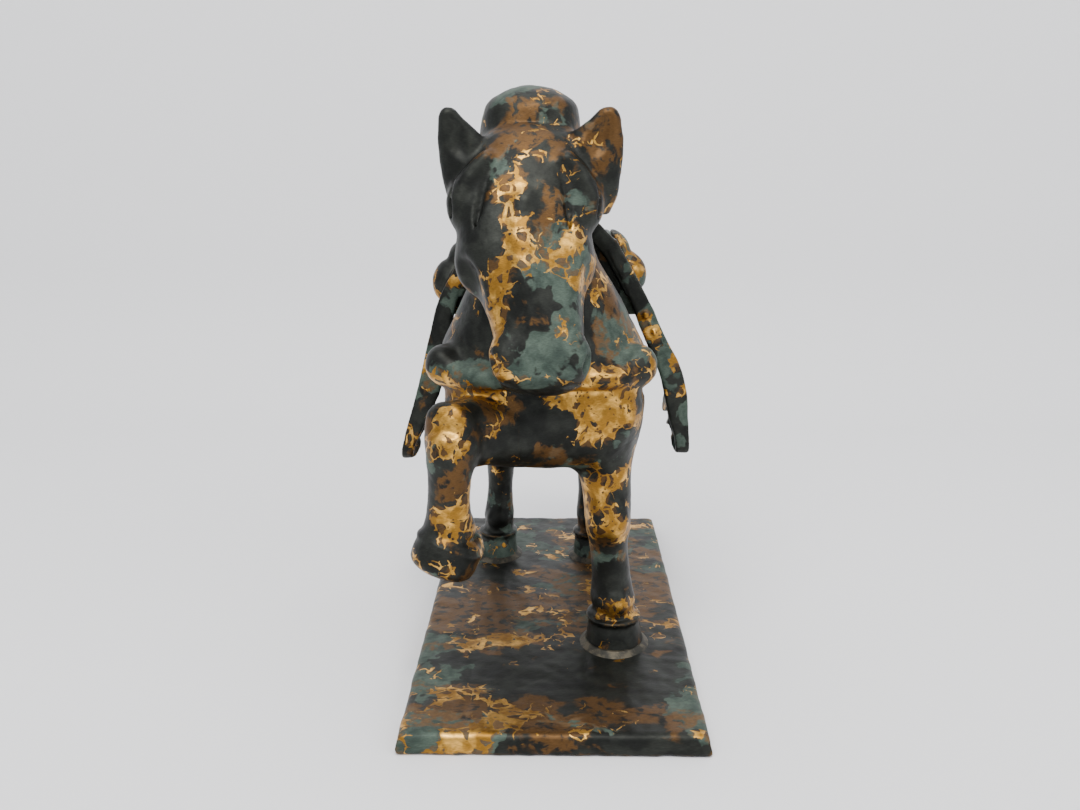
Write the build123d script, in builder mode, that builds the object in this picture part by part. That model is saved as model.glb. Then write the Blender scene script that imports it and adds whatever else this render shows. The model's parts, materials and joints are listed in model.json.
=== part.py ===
"""A cast bronze horse statuette on a plate: hollow castings pinned and brazed together.

Millimetres. +Z is up, -Y is the way the horse faces, and the origin is the centre of the plate's underside.
"""

import math
import os

from build123d import *

os.makedirs("parts", exist_ok=True)

# Plate
BASE_LENGTH = 198.0
BASE_WIDTH = 100.5
BASE_THICKNESS = 7.0
BASE_DRAFT = 12.0  # degrees that the plate's four sides lean in
BASE_EDGE_RADIUS = 0.8
RING_HEIGHT = 1.8
RING_REACH, RING_TOP_REACH = 2.4, 0.3

# Castings and what joins them
BODY_X = -4.0  # the horse stands a little to its own right of the plate's centre line
WALL = 3.5
JOINT_LAND = 9.0  # solid metal left on each side of a joint between hollow castings
LEG_JOINT_Z = 69.0
TENON_RADIUS = 3.0
TENON_LENGTH = 12.0  # how far a tenon runs up into the hoof
TENON_HEAD_RADIUS = 4.6
TENON_HEAD_HEIGHT = 1.5
TENON_RECESS = 0.3  # how far the peened end stays above the plate's underside
DOWEL_RADIUS = 2.5
DOWEL_HALF_LENGTH = 6.0
BOSS_RADIUS = 6.5
BOSS_LENGTH = 13.0
PIN_RADIUS = 1.25
PIN_LENGTH = 7.0
PLUG_RADIUS, PLUG_LENGTH = 7.0, 30.0
PLUG_Z = 60.0
PLUG_YS = (-6.0, 18.0)  # the core was held through two holes in the belly

# Trunk: y, height of the widest line, half-width, height above that line, depth below it
TRUNK_FRONT = (BODY_X, -55.5, 101.0)
TRUNK = [
    (-51.5, 102.0, 21.0, 19.0, 17.0),
    (-45.0, 103.0, 31.5, 28.0, 26.0),
    (-35.0, 103.0, 36.0, 33.0, 31.0),
    (-18.0, 103.0, 36.5, 34.5, 33.0),
    (2.0, 103.0, 35.0, 31.0, 33.0),
    (20.0, 104.0, 35.5, 30.5, 33.0),
    (36.0, 105.0, 36.0, 32.5, 29.0),
    (48.0, 106.0, 33.5, 31.5, 25.0),
    (57.0, 107.0, 26.5, 25.0, 20.0),
    (63.5, 107.0, 16.5, 15.5, 14.0),
]
TRUNK_BACK = (BODY_X, 67.5, 107.0)

# Neck: centre x, y, z, half-width, half-depth front to back, forward lean in degrees
NECK = [
    (-4.0, -20.0, 104.0, 25.0, 22.0, 26.0),
    (-4.2, -24.5, 124.0, 31.5, 24.0, 20.0),
    (-5.2, -28.0, 143.0, 23.0, 18.5, 10.0),
    (-7.2, -31.0, 162.0, 17.5, 17.5, 2.0),
    (-8.4, -31.0, 179.0, 16.2, 17.0, -4.0),
    (-8.2, -29.0, 193.0, 14.8, 14.5, -8.0),
    (-8.0, -27.5, 201.0, 10.0, 9.5, -8.0),
]
NECK_TOP = (-8.0, -27.0, 205.0)
NECK_JOINT = Plane(origin=(BODY_X, -56.0, 110.0), x_dir=(1, 0, 0), z_dir=(0, -0.5, 0.866))
HEAD_JOINT = Plane(origin=(-8.0, -31.0, 195.0), x_dir=(1, 0, 0), z_dir=(0, -0.953, 0.303))
NECK_DOWEL_UP, NECK_DOWEL_OUT = 28.0, 13.0
HEAD_DOWEL_DOWN = (16.0, 36.0)

# Chest fold: the raised lip that runs from one point of the shoulder to the other
FOLD_LINE = [
    (-35.5, -40.0, 115.5),
    (-24.0, -47.5, 113.5),
    (-4.0, -50.5, 113.0),
    (16.0, -47.5, 113.5),
    (27.5, -40.0, 115.5),
]
FOLD_RADIUS = 5.2
SHOULDER_RADIUS = 7.0

# Head: distance down the face from the poll, half-width, half-depth
POLL = Vector(-8.6, -36.5, 184.0)
CHIN = Vector(-4.2, -70.0, 112.0)
HEAD_CROWN = -9.0
HEAD = [
    (0.0, 14.5, 13.0),
    (9.0, 19.0, 17.0),
    (20.0, 22.5, 18.5),
    (34.0, 21.5, 18.5),
    (46.0, 18.0, 15.0),
    (56.0, 15.2, 12.5),
    (66.0, 14.0, 11.5),
    (74.0, 14.3, 10.8),
    (79.0, 11.0, 7.5),
]
HEAD_END = 82.0
EYE_DOWN, EYE_OUT, EYE_FORWARD, EYE_RADIUS = 20.0, 19.3, 5.0, 5.6

# Ears: root and tip, then distance up the ear, half-width, half-depth
EAR_ROOT_OUT, EAR_ROOT_Y, EAR_ROOT_Z = 17.5, -42.0, 168.0
EAR_TIP_OUT, EAR_TIP_Y, EAR_TIP_Z = 26.7, -45.0, 197.8
EAR = [(0.0, 8.4, 6.0), (9.0, 8.8, 5.6), (17.0, 7.4, 4.6), (24.0, 4.8, 3.2), (28.5, 2.4, 1.9)]
EAR_HOLLOW = [(13.0, 3.4, 1.4), (16.0, 5.0, 2.6), (20.0, 4.4, 2.6), (24.5, 2.4, 1.5)]
EAR_HOLLOW_FORWARD = 3.9
EAR_POINT_UP = 31.29
EAR_PIN_UP, EAR_PIN_BACK = 6.5, 2.0

# Standing legs: distance out from the body's centre line, y, z, half-width, half-depth
FORELEG = [
    (26.4, -34.5, 7.0, 10.4, 11.6),
    (26.2, -34.0, 12.0, 9.8, 10.8),
    (26.0, -33.2, 18.0, 8.6, 9.4),
    (25.8, -32.8, 22.0, 7.6, 8.2),
    (25.6, -32.6, 27.0, 7.6, 8.2),
    (24.8, -33.0, 36.0, 7.0, 7.4),
    (23.8, -33.6, 46.0, 7.2, 7.6),
    (23.2, -34.0, 54.0, 8.2, 8.8),
    (22.9, -34.0, 61.0, 8.7, 9.4),
    (22.4, -33.2, 69.0, 8.9, 10.0),
    (21.2, -31.5, 79.0, 11.0, 12.5),
    (19.0, -29.5, 91.0, 14.5, 16.0),
    (17.0, -28.0, 102.0, 16.0, 18.0),
]
HIND_LEG = [
    (21.5, 50.5, 7.0, 8.7, 10.8),
    (21.4, 51.2, 12.0, 8.2, 10.0),
    (21.2, 52.4, 18.0, 7.3, 8.4),
    (21.0, 53.0, 22.0, 6.5, 7.2),
    (20.8, 53.6, 28.0, 6.5, 7.4),
    (20.4, 55.2, 37.0, 5.7, 6.6),
    (20.2, 56.4, 45.0, 5.9, 7.8),
    (20.0, 56.0, 53.0, 6.8, 9.6),
    (19.6, 52.8, 61.0, 7.2, 9.6),
    (19.0, 48.0, 69.0, 9.2, 12.0),
    (18.0, 43.5, 80.0, 12.5, 15.5),
    (16.5, 41.0, 92.0, 15.5, 18.5),
    (14.5, 40.0, 104.0, 17.0, 20.0),
]
STANDING = {
    "foreleg_left": (FORELEG, 1),
    "hindleg_left": (HIND_LEG, 1),
    "hindleg_right": (HIND_LEG, -1),
}

# Raised foreleg: centre, half-width, half-depth, along the forearm and then down the shank
FOREARM_RUN = (-0.475, -0.88, 0.0)
FOREARM = [
    ((-14.0, -27.0, 95.0), 14.0, 17.0),
    ((-19.2, -37.0, 93.5), 12.0, 14.5),
    ((-24.6, -47.0, 93.0), 10.2, 12.5),
    ((-29.6, -57.0, 93.0), 8.8, 11.4),
    ((-32.9, -63.5, 93.8), 8.6, 10.8),
    ((-34.9, -67.6, 94.6), 7.4, 8.6),
]
KNEE_POINT = (-37.2, -72.4, 95.2)
SHANK = [
    (-33.2, -63.5, 97.0, 5.6, 5.6),
    (-33.3, -65.5, 90.0, 8.0, 8.4),
    (-34.0, -65.3, 83.0, 7.6, 8.2),
    (-34.4, -64.4, 75.0, 7.2, 7.5),
    (-34.8, -63.4, 68.0, 7.6, 7.9),
    (-34.9, -62.6, 62.0, 9.2, 9.4),
    (-34.9, -62.6, 57.0, 11.0, 11.0),
    (-34.9, -63.4, 52.0, 11.2, 11.2),
    (-34.9, -64.6, 46.5, 9.0, 9.6),
]
SHANK_END = (-34.9, -65.4, 42.0)
RAISED_JOINT = Plane(origin=(-24.6, -47.0, 93.0), x_dir=(0.88, -0.475, 0), z_dir=FOREARM_RUN)

# Tail: y, z, direction it runs in (y, z), half-width, half-depth
TAIL = [
    (58.0, 119.0, 1.0, 0.15, 5.2, 5.2),
    (66.0, 119.6, 1.0, -0.10, 5.0, 5.0),
    (73.5, 116.0, 0.55, -0.83, 6.2, 5.6),
    (76.8, 107.0, 0.10, -1.0, 7.4, 6.0),
    (77.0, 96.0, -0.10, -1.0, 7.0, 5.4),
    (75.6, 86.0, -0.20, -1.0, 4.6, 4.0),
]
TAIL_TIP = (BODY_X, 74.0, 79.5)
TAIL_JOINT_Y, TAIL_DOWEL_Z = 66.0, 119.4

# Saddle: y, height of the seat there, half-width of its rim
SADDLE = [
    (-2.0, 161.0, 21.0),
    (6.0, 155.5, 22.0),
    (15.0, 152.5, 23.0),
    (27.0, 154.5, 23.0),
    (36.0, 162.0, 22.5),
    (43.0, 165.0, 21.5),
]
SADDLE_SIDE = [(36.6, 124.0), (30.5, 143.0)]  # distance out and height, up to the rim
RIM_DROP = 4.0
WITHERS_GAP_RADIUS, WITHERS_GAP_Z, WITHERS_GAP_END_Y = 20.0, 131.0, 8.0

# Pommel arch and flaps: outer line as distance out from the body's centre line and height
ARCH_FRONT_Y, ARCH_BACK_Y = -8.0, -2.0
ARCH_LINE = [(0.0, 167.5), (14.0, 164.0), (25.8, 153.6), (37.0, 134.0), (42.0, 122.0)]
ARCH_WIDTH, ARCH_FOOT_Z = 6.5, 134.0
FLAP_LINES = {
    1: [(25.8, 153.6), (37.8, 132.2), (45.6, 116.2), (51, 106), (54, 97), (55.2, 87), (56.3, 74.3)],
    -1: [(25.8, 153.6), (39.0, 130.9), (43.0, 116.8), (47.9, 97.0), (51.4, 86.0), (55.3, 71.0)],
}
FLAP_THICKNESS = 4.2
FLAP_RIM_THICKNESS, FLAP_RIM_DEPTH = 7.6, 5.0
FLAP_FRONT_Y, FLAP_BACK_Y = -8.0, 44.0
FLAP_LOW_FRONT_Z, FLAP_LOW_BACK_Z = 68.0, 82.0
FLAP_OVER_Z = 160.0  # any height above the flaps
FLAP_CORNER_RADIUS = 9.0
ROLLS = {1: (32.0, 141.5), -1: (34.0, 139.0)}
ROLL_Y, ROLL_RADIUS, ROLL_HALF_LENGTH, ROLL_END_RADIUS = 12.0, 10.0, 15.0, 8.0

# Mane: outline of the crest behind the neck, y and z
MANE_HALF_WIDTH = 3.2
MANE_OUTER = [(-21.0, 204.0), (-12.5, 196.0), (-10.0, 182.0), (-9.6, 166.0), (-7.0, 150.0), (-3.0, 138.0)]
MANE_ROOT = [(-14.0, 134.0), (-26.0, 160.0), (-26.0, 190.0)]


def across(y, z=0.0):
    """The upright plane across the body at y, with local X to the right and local Y up."""
    return Plane(origin=(BODY_X, y, z), x_dir=(1, 0, 0), z_dir=(0, -1, 0))


def oval(plane, half_width, above, below=None):
    """A closed smooth outline. It may reach further below its widest line than above it."""
    reach = {True: above, False: above if below is None else below}
    turns = [math.pi * i / 6 for i in range(12)]
    outline = [(half_width * math.cos(t), reach[t < math.pi] * math.sin(t)) for t in turns]
    with BuildSketch(plane) as sketch:
        with BuildLine():
            Spline(*outline, periodic=True)
        make_face()
    return sketch.sketch


def lofted(sections, start=None, end=None):
    """A loft through the outlines, closed to a point at an end that has one."""
    first = [Vertex(*start)] if start else []
    last = [Vertex(*end)] if end else []
    with BuildPart() as made:
        loft(first + sections + last)
    return made.part


def trunk_sections(rows, wall=0.0):
    """Outlines across the trunk, front to back, drawn in by the wall for its hollow."""
    return [oval(across(y, z), w - wall, up - wall, down - wall) for y, z, w, up, down in rows]


def neck_sections(rows, wall=0.0):
    """Outlines across the neck, from the chest up to the crest, drawn in by the wall for its hollow."""
    made = []
    for x, y, z, w, d, lean in rows:
        turn = math.radians(lean)
        up = (0, -math.sin(turn), math.cos(turn))
        made.append(oval(Plane(origin=(x, y, z), x_dir=(1, 0, 0), z_dir=up), w - wall, d - wall))
    return made


def head_plane(down):
    """The plane across the head at a distance down the face, local Y pointing out of the forehead."""
    face = (CHIN - POLL).normalized()
    return Plane(origin=POLL + face * down, x_dir=(1, 0, 0), z_dir=face)


def head_sections(rows, wall=0.0):
    """Outlines across the head, from the poll to the muzzle, drawn in by the wall for its hollow."""
    return [oval(head_plane(down), w - wall, d - wall) for down, w, d in rows]


def level_sections(rows, side=1, middle=0.0):
    """Level outlines up a leg."""
    return [oval(Plane(origin=(middle + side * x, y, z)), w, d) for x, y, z, w, d in rows]


def ear_plane(side, up):
    """The plane across an ear at a distance up from its root, local Y pointing back."""
    root = Vector(POLL.X + side * EAR_ROOT_OUT, EAR_ROOT_Y, EAR_ROOT_Z)
    tip = Vector(POLL.X + side * EAR_TIP_OUT, EAR_TIP_Y, EAR_TIP_Z)
    axis = (tip - root).normalized()
    return Plane(origin=root + axis * up, x_dir=(1, 0, 0), z_dir=axis)


def inward(line, distance):
    """A line of points moved square to itself, towards the body."""
    moved = []
    for i, (x, z) in enumerate(line):
        before, after = line[max(i - 1, 0)], line[min(i + 1, len(line) - 1)]
        run, rise = after[0] - before[0], after[1] - before[1]
        length = math.hypot(run, rise)
        moved.append((x + distance * rise / length, z - distance * run / length))
    return moved


def band(y, depth, line, thickness, side=1):
    """A strip that follows a line across the body, from y backwards."""
    inner = inward(line, thickness)
    with BuildPart() as made:
        with BuildSketch(across(y)):
            with BuildLine():
                outer_edge = Spline(*[(side * x, z) for x, z in line])
                inner_edge = Spline(*[(side * x, z) for x, z in inner])
                Line(outer_edge @ 0, inner_edge @ 0)
                Line(outer_edge @ 1, inner_edge @ 1)
            make_face()
        extrude(amount=-depth)
    return made.part


def beside(y, depth, line, side, corners):
    """Everything between a flap's line and the corners that close it, from y backwards."""
    with BuildPart() as made:
        with BuildSketch(across(y)):
            with BuildLine():
                outer = Spline(*[(side * x, z) for x, z in line])
                Polyline(outer @ 1, *[(side * x, z) for x, z in corners], outer @ 0)
            make_face()
        extrude(amount=-depth)
    return made.part


def rod(plane, radius, length):
    """A round rod standing on the plane."""
    with BuildPart() as made:
        with BuildSketch(plane):
            Circle(radius)
        extrude(amount=length)
    return made.part


def dowels(planes):
    """Rods centred on joint planes."""
    return [rod(plane.offset(-DOWEL_HALF_LENGTH), DOWEL_RADIUS, 2 * DOWEL_HALF_LENGTH) for plane in planes]


def half(shape, plane, side):
    """The part of a shape on one side of a plane."""
    with BuildPart() as made:
        add(shape)
        split(bisect_by=plane, keep=side)
    return made.part


def joined(*shapes):
    """Several shapes as one."""
    with BuildPart() as made:
        for shape in shapes:
            add(shape)
    return made.part


def cut(shape, *tools):
    """A shape with the tools taken out of it."""
    with BuildPart() as made:
        add(shape)
        for tool in tools:
            add(tool, mode=Mode.SUBTRACT)
    return made.part


def foot_plane(rows, side):
    """The level plane at the top of the plate under a standing leg."""
    x, y, z = rows[0][:3]
    return Plane(origin=(BODY_X + side * x, y, z))


def leg_joint(rows, side):
    """The level joint plane between a standing leg and the trunk."""
    x, y, z = next(row[:3] for row in rows if row[2] == LEG_JOINT_Z)
    return Plane(origin=(BODY_X + side * x, y, z))


def keep(label, made, expected=1):
    """Names a finished piece and writes it."""
    made.part.label = label
    export_step(made.part, f"parts/{label}.step")
    count = len(made.part.solids())
    if count != expected:
        raise ValueError(f"{label} has {count} solids")


# Whole forms, cut up into castings below
leg_forms = {name: lofted(level_sections(rows, side, BODY_X)) for name, (rows, side) in STANDING.items()}
trunk_form = lofted(trunk_sections(TRUNK), TRUNK_FRONT, TRUNK_BACK)
neck_form = lofted(neck_sections(NECK), None, NECK_TOP)
head_end = head_plane(HEAD_END).origin
head_crown = head_plane(HEAD_CROWN).origin
skull_form = lofted(head_sections(HEAD), tuple(head_crown), tuple(head_end))
tail_outlines = []
for y, z, run_y, run_z, w, d in TAIL:
    tail_outlines.append(oval(Plane(origin=(BODY_X, y, z), x_dir=(1, 0, 0), z_dir=(0, run_y, run_z)), w, d))
tail_form = lofted(tail_outlines, None, TAIL_TIP)
forearm_planes = [Plane(origin=at, x_dir=RAISED_JOINT.x_dir, z_dir=FOREARM_RUN) for at, w, d in FOREARM]
with BuildPart() as raised_form:
    add(lofted([oval(plane, w, d) for plane, (at, w, d) in zip(forearm_planes, FOREARM)], None, KNEE_POINT))
    add(lofted(level_sections(SHANK), None, SHANK_END))

with BuildPart() as fold_form:
    with BuildLine() as fold_line:
        Spline(*FOLD_LINE)
    with BuildSketch(Plane(origin=fold_line.line @ 0, z_dir=fold_line.line % 0)):
        Circle(FOLD_RADIUS)
    sweep()
    with Locations(FOLD_LINE[0], FOLD_LINE[-1]):
        Sphere(SHOULDER_RADIUS)

with BuildPart() as head_form:
    add(skull_form)
    for side in (-1, 1):
        eye = head_plane(EYE_DOWN).from_local_coords((side * EYE_OUT, EYE_FORWARD, 0))
        with Locations(eye):
            Sphere(EYE_RADIUS)

# Joint planes and the rods through them
leg_planes = [leg_joint(rows, side) for rows, side in STANDING.values()] + [RAISED_JOINT]
foot_planes = [foot_plane(rows, side) for rows, side in STANDING.values()]
up_joint = NECK_JOINT.y_dir * NECK_DOWEL_UP
neck_planes = [
    Plane(origin=NECK_JOINT.origin + up_joint + Vector(out, 0, 0), x_dir=(1, 0, 0), z_dir=NECK_JOINT.z_dir)
    for out in (-NECK_DOWEL_OUT, NECK_DOWEL_OUT)
]
head_planes = [
    Plane(origin=HEAD_JOINT.origin - HEAD_JOINT.y_dir * down, x_dir=(1, 0, 0), z_dir=HEAD_JOINT.z_dir)
    for down in HEAD_DOWEL_DOWN
]
tail_plane = Plane(origin=(BODY_X, TAIL_JOINT_Y, TAIL_DOWEL_Z), x_dir=(1, 0, 0), z_dir=(0, 1, 0))
ear_planes = {
    side: Plane(
        origin=ear_plane(side, EAR_PIN_UP).from_local_coords((0, EAR_PIN_BACK, 0)),
        x_dir=(1, 0, 0),
        z_dir=ear_plane(side, 0).z_dir,
    )
    for side in (-1, 1)
}
leg_rods = dowels(leg_planes)
neck_rods = dowels(neck_planes)
head_rods = dowels(head_planes)
tail_rod = dowels([tail_plane])[0]
ear_rods = {side: rod(plane, PIN_RADIUS, PIN_LENGTH) for side, plane in ear_planes.items()}
tenon_rods = []
for plane in foot_planes:
    with BuildPart() as tenon:
        with BuildSketch(plane.offset(TENON_RECESS - BASE_THICKNESS)):
            Circle(TENON_HEAD_RADIUS)
        extrude(amount=TENON_HEAD_HEIGHT)
        with BuildSketch(plane.offset(TENON_RECESS - BASE_THICKNESS)):
            Circle(TENON_RADIUS)
        extrude(amount=BASE_THICKNESS - TENON_RECESS + TENON_LENGTH)
    tenon_rods.append(tenon.part)

# Trunk, its hollow, and the bosses that the dowels stand in
trunk_hollow = half(
    lofted(trunk_sections(TRUNK[1:-1], WALL)), NECK_JOINT.offset(-JOINT_LAND), Keep.BOTTOM
)
bosses = [rod(plane.offset(-BOSS_LENGTH), BOSS_RADIUS, BOSS_LENGTH) for plane in (RAISED_JOINT, tail_plane)]
trunk_hollow = cut(trunk_hollow, *bosses)
plug_forms = [rod(Plane(origin=(BODY_X, y, PLUG_Z)), PLUG_RADIUS, PLUG_LENGTH) for y in PLUG_YS]
below_neck = half(joined(trunk_form, neck_form), NECK_JOINT, Keep.BOTTOM)
with BuildPart() as trunk:
    add(half(below_neck, RAISED_JOINT, Keep.BOTTOM))
    add(half(fold_form.part, NECK_JOINT, Keep.BOTTOM))
    for name, (rows, side) in STANDING.items():
        add(half(leg_forms[name], leg_joint(rows, side), Keep.TOP))
    add(half(raised_form.part, RAISED_JOINT, Keep.BOTTOM))
    add(half(tail_form, tail_plane, Keep.BOTTOM))
    for tool in [trunk_hollow, tail_rod] + leg_rods + neck_rods + plug_forms:
        add(tool, mode=Mode.SUBTRACT)
keep("trunk", trunk)

with BuildPart() as core_plugs:
    for plug_form in plug_forms:
        add(plug_form)
    add(trunk_form, mode=Mode.INTERSECT)
    add(trunk_hollow, mode=Mode.SUBTRACT)
keep("core_plugs", core_plugs, len(PLUG_YS))

# Plate
with BuildPart() as base_plate:
    with BuildSketch():
        Rectangle(BASE_WIDTH, BASE_LENGTH)
    extrude(amount=BASE_THICKNESS, taper=BASE_DRAFT)
    fillet(base_plate.faces().sort_by(Axis.Z)[-1].edges(), BASE_EDGE_RADIUS)
    for tenon_rod, plane in zip(tenon_rods, foot_planes):
        add(tenon_rod, mode=Mode.SUBTRACT)
        with BuildSketch(Plane(origin=(plane.origin.X, plane.origin.Y, 0))):
            Circle(TENON_HEAD_RADIUS)
        extrude(amount=TENON_RECESS, mode=Mode.SUBTRACT)
keep("base_plate", base_plate)

# Standing legs
for name, (rows, side) in STANDING.items():
    with BuildPart() as leg:
        add(half(leg_forms[name], leg_joint(rows, side), Keep.BOTTOM))
        for tool in tenon_rods + leg_rods:
            add(tool, mode=Mode.SUBTRACT)
    keep(name, leg)

# Braze round each planted hoof
with BuildPart() as hoof_rings:
    for rows, side in STANDING.values():
        w, d = rows[0][3:]
        plane = foot_plane(rows, side)
        low = oval(plane, w + RING_REACH, d + RING_REACH)
        high = oval(plane.offset(RING_HEIGHT), w + RING_TOP_REACH, d + RING_TOP_REACH)
        add(lofted([low, high]))
    for form in list(leg_forms.values()) + tenon_rods:
        add(form, mode=Mode.SUBTRACT)
keep("hoof_rings", hoof_rings, len(STANDING))

# Raised foreleg
with BuildPart() as foreleg_right:
    add(half(raised_form.part, RAISED_JOINT, Keep.TOP))
    add(leg_rods[-1], mode=Mode.SUBTRACT)
keep("foreleg_right", foreleg_right)

# Neck
neck_hollow = half(lofted(neck_sections(NECK[:-1], WALL)), NECK_JOINT.offset(JOINT_LAND), Keep.TOP)
neck_hollow = half(neck_hollow, HEAD_JOINT.offset(-JOINT_LAND), Keep.BOTTOM)
above_trunk = half(joined(trunk_form, neck_form), NECK_JOINT, Keep.TOP)
above_trunk = joined(above_trunk, head_form.part)
with BuildPart() as neck:
    add(half(above_trunk, HEAD_JOINT, Keep.BOTTOM))
    add(half(fold_form.part, NECK_JOINT, Keep.TOP))
    for tool in [neck_hollow] + neck_rods + head_rods:
        add(tool, mode=Mode.SUBTRACT)
keep("neck", neck)

# Head
head_hollow = half(lofted(head_sections(HEAD[:-2], WALL)), HEAD_JOINT.offset(JOINT_LAND), Keep.TOP)
with BuildPart() as head:
    add(half(above_trunk, HEAD_JOINT, Keep.TOP))
    for tool in [head_hollow] + head_rods + list(ear_rods.values()):
        add(tool, mode=Mode.SUBTRACT)
keep("head", head)

# Ears
for side, name in ((1, "ear_left"), (-1, "ear_right")):
    tip = tuple(ear_plane(side, EAR_POINT_UP).origin)
    with BuildPart() as ear:
        add(lofted([oval(ear_plane(side, up), w, d) for up, w, d in EAR], None, tip))
        scoops = [ear_plane(side, up) for up, w, d in EAR_HOLLOW]
        scoops = [
            Plane(origin=p.from_local_coords((0, -EAR_HOLLOW_FORWARD, 0)), x_dir=(1, 0, 0), z_dir=p.z_dir)
            for p in scoops
        ]
        add(lofted([oval(p, w, d) for p, (up, w, d) in zip(scoops, EAR_HOLLOW)]), mode=Mode.SUBTRACT)
        for tool in [head_form.part, neck_form, ear_rods[side]]:
            add(tool, mode=Mode.SUBTRACT)
    keep(name, ear)

# Tail
with BuildPart() as tail:
    add(half(tail_form, tail_plane, Keep.TOP))
    for tool in [trunk_form, tail_rod]:
        add(tool, mode=Mode.SUBTRACT)
keep("tail", tail)

# Mane
with BuildPart() as mane:
    with BuildSketch(Plane(origin=(NECK_TOP[0] + MANE_HALF_WIDTH, 0, 0), x_dir=(0, 1, 0), z_dir=(1, 0, 0))):
        with BuildLine():
            Spline(*MANE_OUTER)
            Polyline(MANE_OUTER[-1], *MANE_ROOT, MANE_OUTER[0])
        make_face()
    extrude(amount=-2 * MANE_HALF_WIDTH)
    for tool in [neck_form, trunk_form, head_form.part]:
        add(tool, mode=Mode.SUBTRACT)
keep("mane", mane)

# Pommel arch
arch = [(-x, z) for x, z in reversed(ARCH_LINE[1:])] + ARCH_LINE
with BuildPart() as pommel_arch:
    add(band(ARCH_FRONT_Y, ARCH_BACK_Y - ARCH_FRONT_Y, arch, ARCH_WIDTH))
    split(bisect_by=Plane.XY.offset(ARCH_FOOT_Z), keep=Keep.TOP)
keep("pommel_arch", pommel_arch)

# Saddle
saddle_outlines = []
for y, z, w in SADDLE:
    rise = SADDLE_SIDE + [(w, z - RIM_DROP)]
    with BuildSketch(across(y)) as outline:
        with BuildLine():
            top = Spline(*rise, (0.0, z), *[(-x, h) for x, h in reversed(rise)])
            Line(top @ 0, top @ 1)
        make_face()
    saddle_outlines.append(outline.sketch)
with BuildPart() as saddle:
    add(lofted(saddle_outlines))
    with BuildSketch(across(SADDLE[0][0])):
        with Locations((0, WITHERS_GAP_Z)):
            Circle(WITHERS_GAP_RADIUS)
    extrude(amount=SADDLE[0][0] - WITHERS_GAP_END_Y, mode=Mode.SUBTRACT)
    for side, line in FLAP_LINES.items():
        inside = inward(line, FLAP_THICKNESS)
        corners = [(BASE_WIDTH, inside[-1][1]), (BASE_WIDTH, line[0][1]), line[0]]
        add(beside(FLAP_FRONT_Y, FLAP_BACK_Y - FLAP_FRONT_Y, inside, side, corners), mode=Mode.SUBTRACT)
    add(trunk_form, mode=Mode.SUBTRACT)
keep("saddle", saddle)

# Flaps
for side, name in ((1, "flap_left"), (-1, "flap_right")):
    line = FLAP_LINES[side]
    with BuildPart() as flap:
        add(band(FLAP_FRONT_Y, FLAP_BACK_Y - FLAP_FRONT_Y, line, FLAP_THICKNESS, side))
        add(band(FLAP_FRONT_Y, FLAP_RIM_DEPTH, line, FLAP_RIM_THICKNESS, side))
        with BuildSketch(Plane(origin=(-BASE_WIDTH, 0, 0), x_dir=(0, 1, 0), z_dir=(1, 0, 0))) as side_view:
            Polygon(
                (FLAP_FRONT_Y, FLAP_OVER_Z),
                (FLAP_FRONT_Y, FLAP_LOW_FRONT_Z),
                (FLAP_BACK_Y, FLAP_LOW_BACK_Z),
                (FLAP_BACK_Y, FLAP_OVER_Z),
                align=None,
            )
            fillet(side_view.vertices().sort_by(Axis.Z)[:2], FLAP_CORNER_RADIUS)
        extrude(amount=2 * BASE_WIDTH, mode=Mode.INTERSECT)
        with BuildSketch(across(FLAP_FRONT_Y)):
            with Locations((0, ARCH_FOOT_Z)):
                Rectangle(BASE_WIDTH, BASE_WIDTH, align=(Align.CENTER, Align.MIN))
        extrude(amount=FLAP_FRONT_Y - ARCH_BACK_Y, mode=Mode.SUBTRACT)
    keep(name, flap)

# Rolls outside the flaps
with BuildPart() as saddle_rolls:
    for side, (out, z) in ROLLS.items():
        with BuildPart(mode=Mode.PRIVATE) as roll:
            with BuildSketch(across(ROLL_Y - ROLL_HALF_LENGTH)):
                with Locations((side * out, z)):
                    Circle(ROLL_RADIUS)
            extrude(amount=-2 * ROLL_HALF_LENGTH)
            fillet(roll.edges().filter_by(GeomType.CIRCLE), ROLL_END_RADIUS)
        add(roll.part)
    for side, line in FLAP_LINES.items():
        corners = [(0, line[-1][1]), (0, line[0][1])]
        add(beside(FLAP_FRONT_Y, FLAP_BACK_Y - FLAP_FRONT_Y, line, side, corners), mode=Mode.SUBTRACT)
    for tool in [saddle.part, pommel_arch.part]:
        add(tool, mode=Mode.SUBTRACT)
keep("saddle_rolls", saddle_rolls, len(ROLLS))

# Rods, one node for each kind
for label, rods in {
    "leg_tenons": tenon_rods,
    "leg_dowels": leg_rods,
    "neck_dowels": neck_rods,
    "head_dowels": head_rods,
    "ear_pins": list(ear_rods.values()),
    "tail_dowel": [tail_rod],
}.items():
    with BuildPart() as group:
        for one in rods:
            add(one)
    keep(label, group, len(rods))
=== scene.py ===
import json
import math

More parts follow.
